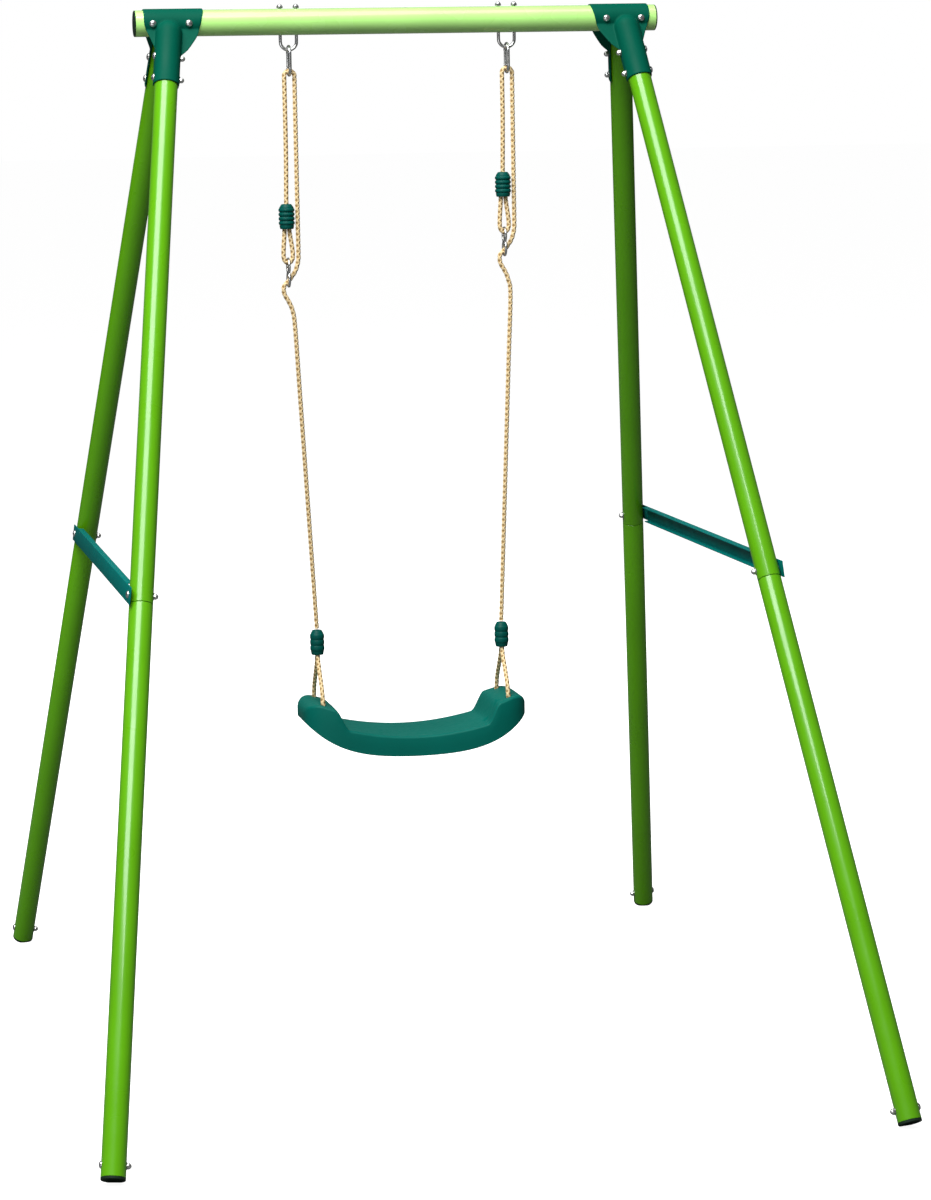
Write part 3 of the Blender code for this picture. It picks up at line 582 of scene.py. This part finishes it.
class Leg:
    """One leg's axis and directions, from the CAD tubes."""

    def __init__(self, name, side, way):
        self.name, self.side, self.way = name, side, way
        ends = sorted(spine(f"lower_leg_{name}")[:2], key=lambda point: point.z)
        top = max(spine(f"upper_leg_{name}")[:2], key=lambda point: point.z)
        self.low, self.high = ends[0], top
        self.up = (top - ends[0]).normalized()
        flat = Vector((self.up.x, 0, self.up.z)).normalized()
        self.out = Vector((side * flat.z, 0, abs(flat.x)))
        self.away = self.up.cross(self.out).normalized()
        if self.away.y * way < 0:
            self.away.negate()

    def at(self, height):
        return self.low + self.up * ((height - self.low.z) / self.up.z)

    def place(self, origin):
        return Matrix.Translation(origin) @ Matrix((self.out, self.away, self.up)).transposed().to_4x4()


LEGS = [Leg(*corner) for corner in CORNERS]


def tube_profile(radius, wall, low, high, lip=0.0005):
    """A tube's closed profile with eased ends."""
    inner = radius - wall
    return [(radius, high - lip), (radius - lip, high), (inner, high), (inner, low), (radius - lip, low),
            (radius, low + lip)]


def make_beam():
    length = BEAM_HIGH.x - BEAM_LOW.x
    profile = tube_profile(BEAM_R, WALL, 0.0, length)
    stand_in(lathe("beam_tube", profile, (BEAM_LOW.x, 0, BEAM_Z), (1, 0, 0), sides=96, closed=True), "beam")
    for word, side in SIDES:
        node = f"beam_end_cap_{word}"
        low, high = (Vector(corner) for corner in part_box(node))
        outer = high.x if side > 0 else -low.x
        lip = outer - (BEAM_HIGH.x if side > 0 else -BEAM_LOW.x)
        plug = BEAM_R - WALL - GAP
        profile = [(0, lip), *arc((BEAM_R - lip * 0.9, GAP), lip * 0.9, 90, 0, 6)]
        profile += [(plug, GAP), (plug, -0.015), (plug - 0.002, -0.015), (plug - 0.002, -0.001), (0, -0.001)]
        start = (side * (outer - lip), 0, BEAM_Z)
        stand_in(lathe(f"end_cap_{word}", profile, start, (side, 0, 0), sides=64), node)


def make_legs():
    for leg in LEGS:
        upper = (leg.high - leg.at(SEAM_Z)).length
        profile = tube_profile(LEG_R, WALL, GAP, upper, lip=0.0006)
        stand_in(lathe(f"upper_tube_{leg.name}", profile, leg.at(SEAM_Z), leg.up, sides=72, closed=True),
                 f"upper_leg_{leg.name}")
        start, spigot_top = sorted(spine(f"lower_leg_{leg.name}")[:2], key=lambda point: point.z)
        run = (leg.at(SEAM_Z) - start).length
        full = (spigot_top - start).length
        inner = LEG_R - WALL
        spigot = inner - GAP
        profile = [(spigot, full), (spigot, run + 0.0002), (LEG_R - 0.0012, run - 0.0004),
                   (LEG_R - 0.0003, run - 0.0010), (LEG_R, run - 0.0022), (LEG_R, 0.0004),
                   (LEG_R - 0.0004, 0), (inner, 0), (inner, run - 0.006), (spigot - WALL, run - 0.002),
                   (spigot - WALL, full)]
        stand_in(lathe(f"lower_tube_{leg.name}", profile, start, leg.up, sides=72, closed=True),
                 f"lower_leg_{leg.name}")
        make_foot(leg, start)


def make_foot(leg, tube_end):
    """The plastic plug: a rim the size of the tube, a plain bung inside it, a flat heel on the ground."""
    lip, depth, edge = 0.0045, 0.014, 0.0012
    end = tube_end - leg.up * (lip + GAP)
    bung = LEG_R - WALL - GAP
    profile = [(0, lip), (bung - 0.0025, lip), (bung - 0.0025, depth), (bung, depth), (bung, lip),
               (LEG_R, lip)]
    profile += arc((LEG_R - edge, edge), edge, 0, -90, 5)
    profile += [(0, 0)]
    plug = lathe(f"plug_{leg.name}", profile, end, leg.up, sides=64)
    ground = block("ground", (end.x - 0.05, end.y - 0.05, -0.05), (end.x + 0.05, end.y + 0.05, 0.0),
                   Matrix.Identity(4))
    stand_in(smooth(combine(plug, [ground], "DIFFERENCE")), f"foot_plug_{leg.name}")


def domed(radius, length, steps=10):
    return [*arc((0, length), radius, 90, 0, steps), (radius, 0), (0, 0)]


# the bracket plate's two edges: (height above the beam's axis, distance from the frame's middle)
OUTER_EDGE = ((0.030, 0.4705), (0.024, 0.4735), (0.004, 0.4738), (-0.010, 0.4710), (-0.024, 0.4652),
              (-0.042, 0.4582), (-0.064, 0.4500))
INNER_EDGE = ((0.030, 0.3665), (0.024, 0.3630), (0.008, 0.3668), (-0.010, 0.3714), (-0.024, 0.3762),
              (-0.038, 0.3862), (-0.052, 0.3985), (-0.064, 0.4160))


def make_wrap(leg):
    """Half-round over the beam and the plate below it, cut to the tapering outline.

    The cutting blocks here and in make_bracket only have to reach past the bracket.
    """
    side, way = leg.side, leg.way
    wrap_r = BEAM_R + GAP + SHEET
    near, far = sorted((side * (INNER_EDGE[1][1] - 0.004), side * (OUTER_EDGE[1][1] + 0.004)))
    wrap = lathe(f"pressed_bracket_{leg.name}", [(0, far - near), (wrap_r, far - near), (wrap_r, 0), (0, 0)],
                 (near, 0, BEAM_Z), (1, 0, 0), sides=96)
    below = block("below", (-0.6, -0.1, 1.7), (0.6, 0.1, BEAM_Z - FOLD_DROP - 0.001), Matrix.Identity(4))
    combine(wrap, [below], "DIFFERENCE")
    middle_r = BEAM_R + GAP + SHEET / 2
    fold = Vector((0, way * math.sqrt(middle_r ** 2 - FOLD_DROP ** 2), BEAM_Z - FOLD_DROP))
    slope = Vector((0, leg.up.y, leg.up.z)).normalized()
    axes = Matrix(((1, 0, 0), slope.cross(Vector((1, 0, 0))), slope)).transposed()
    sheet = block("sheet", (near, -SHEET / 2, -0.070), (far, SHEET / 2, 0.003),
                  Matrix.Translation(fold) @ axes.to_4x4())
    edges = [smooth_path([(x, 0, z) for z, x in edge], 0.002) for edge in (OUTER_EDGE, INNER_EDGE)]
    outline = [(side * point.x, BEAM_Z + point.z) for point in (*edges[0], *edges[1][::-1])]
    upright = Matrix(((1, 0, 0, 0), (0, 0, 1, 0), (0, 1, 0, 0), (0, 0, 0, 1)))
    combine(wrap, [sheet], "UNION")
    return combine(wrap, [prism("taper", outline, 0.3, upright)], "INTERSECT")


def make_bracket(leg):
    """A pressed shell: half-round over the beam, a tapering plate, a domed channel down the leg."""
    side, way = leg.side, leg.way
    half_wall = LEG_R + GAP + SHEET
    wrap = make_wrap(leg)
    foot, head = leg.at(BRACKET_FOOT_Z), leg.at(BRACKET_HEAD_Z)
    run = (head - foot).length
    channel = lathe("channel", domed(half_wall, run), foot, leg.up, sides=72)
    skirt = block("skirt", (-half_wall + 0.0001, -0.020, 0), (half_wall - 0.0001, 0, run), leg.place(foot))
    combine(channel, [skirt], "UNION")
    behind = block("behind", (-0.1, -0.2, -0.1), (0.1, -0.010, run + 0.1), leg.place(foot))
    combine(channel, [behind], "DIFFERENCE")
    combine(wrap, [channel], "UNION")

    hollow = LEG_R + GAP
    bore = lathe("bore", domed(hollow, run + 0.02), foot - leg.up * 0.02, leg.up, sides=72)
    bay = block("bay", (-hollow, -0.060, -0.02), (hollow, 0, run), leg.place(foot))
    room_length = 0.3
    room = lathe("room", [(0, room_length), (BEAM_R + GAP, room_length), (BEAM_R + GAP, 0), (0, 0)],
                 (side * 0.42 - room_length / 2, 0, BEAM_Z), (1, 0, 0), sides=96)
    seam = way * (GAP + 0.0002)
    near, far = sorted((seam, -way * 0.2))
    other = block("other", (-0.7, near, 1.6), (0.7, far, 2.1), Matrix.Identity(4))
    combine(wrap, [bore, bay, room, other], "DIFFERENCE")
    remesh(wrap, 0.0009, 20)
    stand_in(wrap, f"bracket_{leg.name}")


def make_brace(word, side):
    """A pressed channel with rounded folds and clipped ends."""
    node = f"brace_{word}"
    leg = next(leg for leg in LEGS if leg.side == side and leg.way < 0)
    centre = leg.at(BRACE_Z)
    centre.y = 0.0
    up = leg.out.cross(Vector((0, 1, 0))) * -side
    place = Matrix.Translation(centre) @ Matrix((leg.out, Vector((0, 1, 0)), up)).transposed().to_4x4()
    inner = LEG_R + GAP
    half_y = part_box(node)[1][1]
    web = block(f"channel_{node}", (inner, -half_y, -BRACE_HALF_HEIGHT),
                (inner + BRACE_SHEET, half_y, BRACE_HALF_HEIGHT), place)
    flanges = [block("flange", (inner - BRACE_LIP, -BRACE_FLANGE_HALF_Y, z),
                     (inner + 0.0005, BRACE_FLANGE_HALF_Y, z + BRACE_SHEET), place)
               for z in (-BRACE_HALF_HEIGHT, BRACE_HALF_HEIGHT - BRACE_SHEET)]
    combine(web, flanges, "UNION")
    fold = web.modifiers.new("folds", "BEVEL")
    fold.width = 0.0007
    fold.segments = 3
    fold.limit_method = "ANGLE"
    apply_all(web)
    stand_in(smooth(web, 40), node)


# ---------------------------------------------------------------- fasteners

def hex_ring(radius, low, high, place, name):
    """A hexagon prism with chamfered corners."""
    outline = [(radius * math.cos(math.tau * k / 6), radius * math.sin(math.tau * k / 6)) for k in range(6)]
    nut = prism(name, outline, high - low, place @ Matrix.Translation((0, 0, (low + high) / 2)))
    chamfer = nut.modifiers.new("chamfer", "BEVEL")
    chamfer.width = 0.0005
    chamfer.segments = 2
    return apply_all(nut)


def dome_profile(top, base):
    """Round cap of a dome nut, from its top down."""
    angles = [math.radians(angle) for angle in (18, 36, 54, 72, 90)]
    return [(0, top), *[(0.0046 * math.sin(a), top - 0.0040 * (1 - math.cos(a))) for a in angles],
            (0.0046, base), (0, base)]


def make_bolt(node):
    """A round-headed bolt with washers and a hexagon dome nut along the CAD bolt's line."""
    first, last, _ = spine(node, slack=0.0003)
    points = cad_points(node)
    line = (last - first).normalized()
    length = (last - first).length
    run = (points - np.array(first)) @ np.array(line)
    radial = np.linalg.norm(points - np.array(first) - np.outer(run, np.array(line)), axis=1)
    if radial[run < length / 2].max() < radial[run > length / 2].max():
        first, last, line = last, first, -line
    angles = [math.radians(angle) for angle in (15, 30, 45, 60, 75, 90)]
    profile = [(0, 0), *[(BOLT_HEAD_R * math.sin(a), BOLT_HEAD * (1 - math.cos(a))) for a in angles]]
    profile += [(BOLT_HEAD_R, BOLT_HEAD), (BOLT_SHANK_R, BOLT_HEAD), (BOLT_SHANK_R, length - 0.003),
                (0, length - 0.003)]
    bolt = lathe(f"bolt_{node}", profile[::-1], first, line, sides=32)
    collar = length - BOLT_NUT
    bore, low, high = BOLT_SHANK_R + 0.0001, collar + 0.0001, collar + 0.0009
    flat = [(bore, high), (bore, low), (WASHER_R, low), (WASHER_R, high)]
    washer = lathe("washer", flat, first, line, sides=32, closed=True)
    hexagon = hex_ring(0.0057, collar + 0.0010, collar + 0.0052, axis_matrix(first, line), "nut")
    dome = lathe("dome", dome_profile(length, collar + 0.0045), first, line, sides=32)
    combine(bolt, [washer, hexagon, dome], "UNION")
    stand_in(smooth(bolt, 32), node)


def make_u_bolt(word, side):
    """Bent round bar through the beam, with hexagon dome nuts on top."""
    node = f"u_bolt_{word}"
    low, high = (Vector(corner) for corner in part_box(node))
    x, half = side * HOOK_X, U_BOLT_HALF
    rise = low.z + U_BOLT_WIRE_R + half
    points = [(x - half, 0, high.z - 0.004), (x - half, 0, BEAM_Z), (x - half, 0, rise + 0.004)]
    points += [(x + a, 0, rise + b) for a, b in arc((0, 0), half, 195, 345, 12)]
    points += [(x + half, 0, rise + 0.004), (x + half, 0, BEAM_Z), (x + half, 0, high.z - 0.004)]
    bar = sweep(f"bent_{node}", smooth_path(points, 0.0012), U_BOLT_WIRE_R, sides=24)
    extras = []
    crown = BEAM_Z + BEAM_R
    for nut_x in (x - half, x + half):
        place = Matrix.Translation((nut_x, 0, 0))
        extras.append(hex_ring(0.0058, crown + 0.0010, crown + 0.0052, place, "nut"))
        dome = dome_profile(high.z - 0.0001, crown + 0.0045)
        extras.append(lathe("dome", dome, (nut_x, 0, 0), (0, 0, 1), sides=32))
    combine(bar, extras, "UNION")
    stand_in(smooth(bar, 40), node)


def make_snap_hook(word, side):
    """Bent round bar with an open side, and a pinned gate that closes it."""
    node = f"snap_hook_{word}"
    low, high = (Vector(corner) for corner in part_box(node))
    x, radius = side * HOOK_X, HOOK_BEND_R
    top, base = high.z - HOOK_WIRE_R - radius, low.z + HOOK_WIRE_R + radius
    points = [(x, radius, top + 0.001)]
    points += [(x, a, b) for a, b in arc((0, top), radius, 10, 180, 14)]
    points += [(x, a, b) for a, b in arc((0, base), radius, 180, 350, 14)]
    points += [(x, radius, base - 0.001)]
    hook = sweep(f"wire_{node}", smooth_path(points, 0.0010), HOOK_WIRE_R, sides=24)
    stand_in(smooth(hook, 50), node)
    gate = f"gate_{word}"
    gate_low, gate_high = (Vector(corner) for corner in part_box(gate))
    pin_z = gate_low.z + GATE_R
    rod = [(0, gate_high.z), (0.0019, gate_high.z), (GATE_R, gate_high.z - 0.0006)]
    rod += arc((0, pin_z), GATE_R, 0, -90, 8)
    body = lathe(f"tube_{gate}", rod, (x, radius, 0), (0, 0, 1), sides=24)
    pin_r, pin_length = 0.0011, 0.0054
    pin = lathe("pin", [(0, pin_length), (pin_r, pin_length), (pin_r, 0), (0, 0)],
                (x - pin_length / 2, radius, pin_z), (1, 0, 0), sides=16)
    stand_in(smooth(combine(body, [pin], "UNION"), 40), gate)


def make_adjuster(word, side):
    """A figure-eight of bent wire: two rings that share their middle."""
    node = f"adjuster_{word}"
    low, high = (Vector(corner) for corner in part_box(node))
    wire = (high.x - low.x) / 2
    x = (low.x + high.x) / 2
    ring_r = (high.y - low.y) / 2 - wire
    rings = []
    for centre in (high.z - wire - ring_r, low.z + wire + ring_r):
        points = [(x, a, b) for a, b in arc((0, centre), ring_r, 0, 360 - 5, 71)]
        rings.append(sweep(f"wire_{node}", points, wire, sides=20, cyclic=True))
    figure = combine(rings[0], rings[1:], "UNION")
    stand_in(smooth(figure, 50), node)


# ---------------------------------------------------------------- barrels and seat

def barrel_profile(radius, length, ribs, groove):
    """Ribbed outer side, top to bottom; groove is the ribs' depth as a share of the radius."""
    body = length - 0.014
    pitch = body / ribs
    outline = [(radius * 0.50, length / 2)]
    outline += [(r, z) for r, z in arc((radius * 0.50, length / 2 - 0.0030), 0.0030, 70, 25, 3)]
    outline.append((radius * 0.88, length / 2 - 0.0062))
    for i in range(ribs):
        middle = body / 2 - pitch * (i + 0.5)
        for angle in range(75, -90, -15):
            bulge = math.cos(math.radians(angle)) ** 0.6
            outline.append((radius * (1 - groove + groove * bulge),
                            middle + pitch * 0.42 * math.sin(math.radians(angle))))
    outline += [(radius * 0.90, -length / 2 + 0.0055), (radius * 0.84, -length / 2 + 0.0012),
                (radius * 0.80, -length / 2)]
    return outline


def make_barrels(word, side):
    """The ribbed barrel at the adjusting loop, and the lower one that joins rope and seat rope."""
    half = BARREL_LENGTH / 2
    wide, neck = 2 * ROPE_R + 0.0014, ROPE_R + 0.0008
    profile = barrel_profile(UPPER_BARREL_R, BARREL_LENGTH, ribs=4, groove=0.22)
    profile += [(wide, -half), (wide, half * 0.30), (neck, half * 0.72), (neck, half)]
    centre = (side * HOOK_X + BARREL_X, 0, UPPER_BARREL_Z[word])
    stand_in(lathe(f"ribbed_upper_{word}", profile, centre, (0, 0, 1), sides=56, closed=True),
             f"upper_barrel_{word}")

    half = LOWER_BARREL_LENGTH / 2
    wide = 2 * ROPE_R + 0.0010
    cup = [(0, half + ROPE_END_RISE - (ROPE_R + 0.0006)), (0.0034, half - 0.0010), (ROPE_R + 0.0006, half)]
    profile = cup + barrel_profile(LOWER_BARREL_R, LOWER_BARREL_LENGTH, ribs=3, groove=0.12)
    profile += [(wide, -half), (wide, half * 0.30), (0, half * 0.45)]
    centre = (side * HOLE_X, 0, LOWER_BARREL_TOP_Z - half)
    stand_in(lathe(f"ribbed_lower_{word}", profile, centre, (0, 0, 1), sides=56), f"lower_barrel_{word}")


def seat_sheet(name, columns, rows):
    """The seat's outer skin: dished top with a hump at each end, eased edge, turned-down rim."""
    edge_r, power, rim_rows = 0.0045, 4.5, 6
    bm = bmesh.new()
    bmesh.ops.create_grid(bm, x_segments=columns, y_segments=rows, size=1.0)
    for vertex in bm.verts:
        i = round((vertex.co.x + 1) / 2 * columns)
        j = round((vertex.co.y + 1) / 2 * rows)
        ring = min(i, columns - i, j, rows - j)
        u = (i - columns / 2) / (columns / 2 - rim_rows)
        v = (j - rows / 2) / (rows / 2 - rim_rows)
        u, v = max(-1.0, min(1.0, u)), max(-1.0, min(1.0, v))
        reach = max(abs(u), abs(v))
        spread_out = (abs(u) ** power + abs(v) ** power) ** (1 / power)
        scale = reach / spread_out if spread_out else 1.0
        angle = math.radians(90) * max(0, min(ring - 2, 4)) / 4
        inset = edge_r * (1 - math.cos(angle)) if ring < rim_rows else edge_r
        x = (SEAT_HALF_X - inset) * u * scale
        y = (SEAT_HALF_Y - inset) * v * scale
        top = seat_top(x, y)
        bottom = min(seat_bottom(x), top - 0.006)
        skirt_top = max(top - edge_r, bottom + 0.0005)
        if ring < 2:
            z = bottom + (skirt_top - bottom) * ring / 2
        elif ring < rim_rows:
            z = skirt_top + (top - skirt_top) * math.sin(angle)
        else:
            z = top
        vertex.co = (x, y, z)
    bmesh.ops.recalc_face_normals(bm, faces=bm.faces)
    if sum(face.normal.z for face in bm.faces) < 0:
        bmesh.ops.reverse_faces(bm, faces=bm.faces)
    mesh = bpy.data.meshes.new(name)
    bm.to_mesh(mesh)
    bm.free()
    return link(name, mesh)


def make_seat():
    seat = seat_sheet("moulded_seat", 132, 56)
    thick = seat.modifiers.new("thickness", "SOLIDIFY")
    thick.thickness = SEAT_WALL
    thick.offset = -1.0
    thick.use_even_offset = True
    apply_all(seat)
    # the even wall pushes the corners of its inner skin below the rim
    for vertex in seat.data.vertices:
        vertex.co.z = max(vertex.co.z, seat_bottom(vertex.co.x))
    drills = [lathe("drill", [(0, 0.1), (HOLE_R, 0.1), (HOLE_R, 0), (0, 0)],
                    (sx * HOLE_X, sy * HOLE_Y, 0.56), (0, 0, 1), sides=32)
              for sx in (-1, 1) for sy in (-1, 1)]
    combine(seat, drills, "DIFFERENCE")
    stand_in(smooth(seat, 45), "seat")
    make_seat_ribs()


def make_seat_ribs():
    """Stiffening ribs under the seat's pan, moulded with it."""
    bite = 0.0006
    half_y = SEAT_HALF_Y - SEAT_WALL - 0.001
    verts, faces = [], []

    def strip(stations):
        start = len(verts)
        for x, y, across in stations:
            high = seat_top(x, y) - SEAT_WALL + bite
            low = max(high - RIB_DEPTH, seat_bottom(x) + 0.001)
            for z in (high, low):
                for hand in (-1, 1):
                    verts.append((x + across[0] * hand, y + across[1] * hand, z))
        for i in range(len(stations) - 1):
            a, b = start + 4 * i, start + 4 * (i + 1)
            faces.extend([(a, b, b + 1, a + 1), (a + 3, b + 3, b + 2, a + 2), (a + 1, b + 1, b + 3, a + 3),
                          (a + 2, b + 2, b, a)])
        last = start + 4 * (len(stations) - 1)
        faces.extend([(start, start + 1, start + 3, start + 2), (last + 1, last, last + 2, last + 3)])

    for y in LONG_RIBS_Y:
        strip([(LONG_RIB_HALF_X * (k / 13 - 1), y, (0, RIB_HALF_THICK)) for k in range(27)])
    for x in CROSS_RIBS_X:
        strip([(x, half_y * (k / 5 - 1), (RIB_HALF_THICK, 0)) for k in range(11)])
    ribs = mesh_object("seat_ribs", verts, faces)
    ribs.data.materials.append(MATERIALS["seat_plastic"])
    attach(ribs, "seat")


# ---------------------------------------------------------------- stage

def area_light(name, place, target, size, power):
    data = bpy.data.lights.new(name, "AREA")
    data.shape = "RECTANGLE"
    data.size, data.size_y = size
    data.energy = power
    light = bpy.data.objects.new(name, data)
    light.location = place
    light.rotation_euler = (Vector(target) - Vector(place)).to_track_quat("-Z", "Y").to_euler()
    bpy.context.scene.collection.objects.link(light)
    return light


def pale_floor():
    """White to look at, but it throws little light up on the legs."""
    made = bpy.data.materials.new("floor_paint")
    made.use_nodes = True
    tree = made.node_tree
    tree.nodes.clear()
    out = tree.nodes.new("ShaderNodeOutputMaterial")
    seen = tree.nodes.new("ShaderNodeLightPath")
    pick = tree.nodes.new("ShaderNodeMixShader")
    dull = tree.nodes.new("ShaderNodeBsdfDiffuse")
    dull.inputs["Color"].default_value = (0.12, 0.12, 0.12, 1)
    pale = tree.nodes.new("ShaderNodeBsdfDiffuse")
    pale.inputs["Color"].default_value = (0.55, 0.55, 0.55, 1)
    glow = tree.nodes.new("ShaderNodeEmission")
    glow.inputs["Strength"].default_value = 0.93
    both = tree.nodes.new("ShaderNodeAddShader")
    tree.links.new(pale.outputs["BSDF"], both.inputs[0])
    tree.links.new(glow.outputs["Emission"], both.inputs[1])
    tree.links.new(seen.outputs["Is Camera Ray"], pick.inputs["Fac"])
    tree.links.new(dull.outputs["BSDF"], pick.inputs[1])
    tree.links.new(both.outputs["Shader"], pick.inputs[2])
    tree.links.new(pick.outputs["Shader"], out.inputs["Surface"])
    return made


def white_studio():
    """White behind the object, and a weaker, even light on it."""
    world = bpy.data.worlds.new("studio")
    world.use_nodes = True
    tree = world.node_tree
    seen = tree.nodes.new("ShaderNodeLightPath")
    level = tree.nodes.new("ShaderNodeMapRange")
    level.inputs["To Min"].default_value = 0.11
    level.inputs["To Max"].default_value = 1.0
    tree.links.new(seen.outputs["Is Camera Ray"], level.inputs["Value"])
    background = tree.nodes["Background"]
    background.inputs["Color"].default_value = (1, 1, 1, 1)
    tree.links.new(level.outputs["Result"], background.inputs["Strength"])
    return world


def make_stage():
    bpy.ops.mesh.primitive_plane_add(size=400, location=(0, 0, -0.0005))
    floor = bpy.context.object
    floor.name = "floor"
    floor.data.materials.append(pale_floor())
    bpy.context.scene.world = white_studio()
    bpy.context.scene.view_settings.view_transform = "Standard"
    middle = (0, 0, 1.0)
    area_light("silk", (-2.4, -3.6, 6.8), middle, (5.0, 4.0), 890)
    area_light("overhead", (-0.6, -0.8, 5.2), middle, (4.0, 3.0), 90)
    area_light("low_front", (-3.0, -5.5, 0.6), (0, 0, 1.5), (4.0, 2.0), 60)
    back = area_light("back", (0.4, 6.0, 3.6), middle, (5.0, 4.0), 230)
    back.visible_glossy = False


def main():
    make_camera()
    make_ropes()
    make_beam()
    make_legs()
    for leg in LEGS:
        make_bracket(leg)
    for word, side in SIDES:
        make_brace(word, side)
        make_u_bolt(word, side)
        make_snap_hook(word, side)
        make_adjuster(word, side)
        make_barrels(word, side)
    for node in sorted(SLOT_OF):
        if node.startswith(("beam_bolt", "bracket_bolt", "brace_bolt", "foot_bolt")):
            make_bolt(node)
    make_seat()
    make_stage()


main()
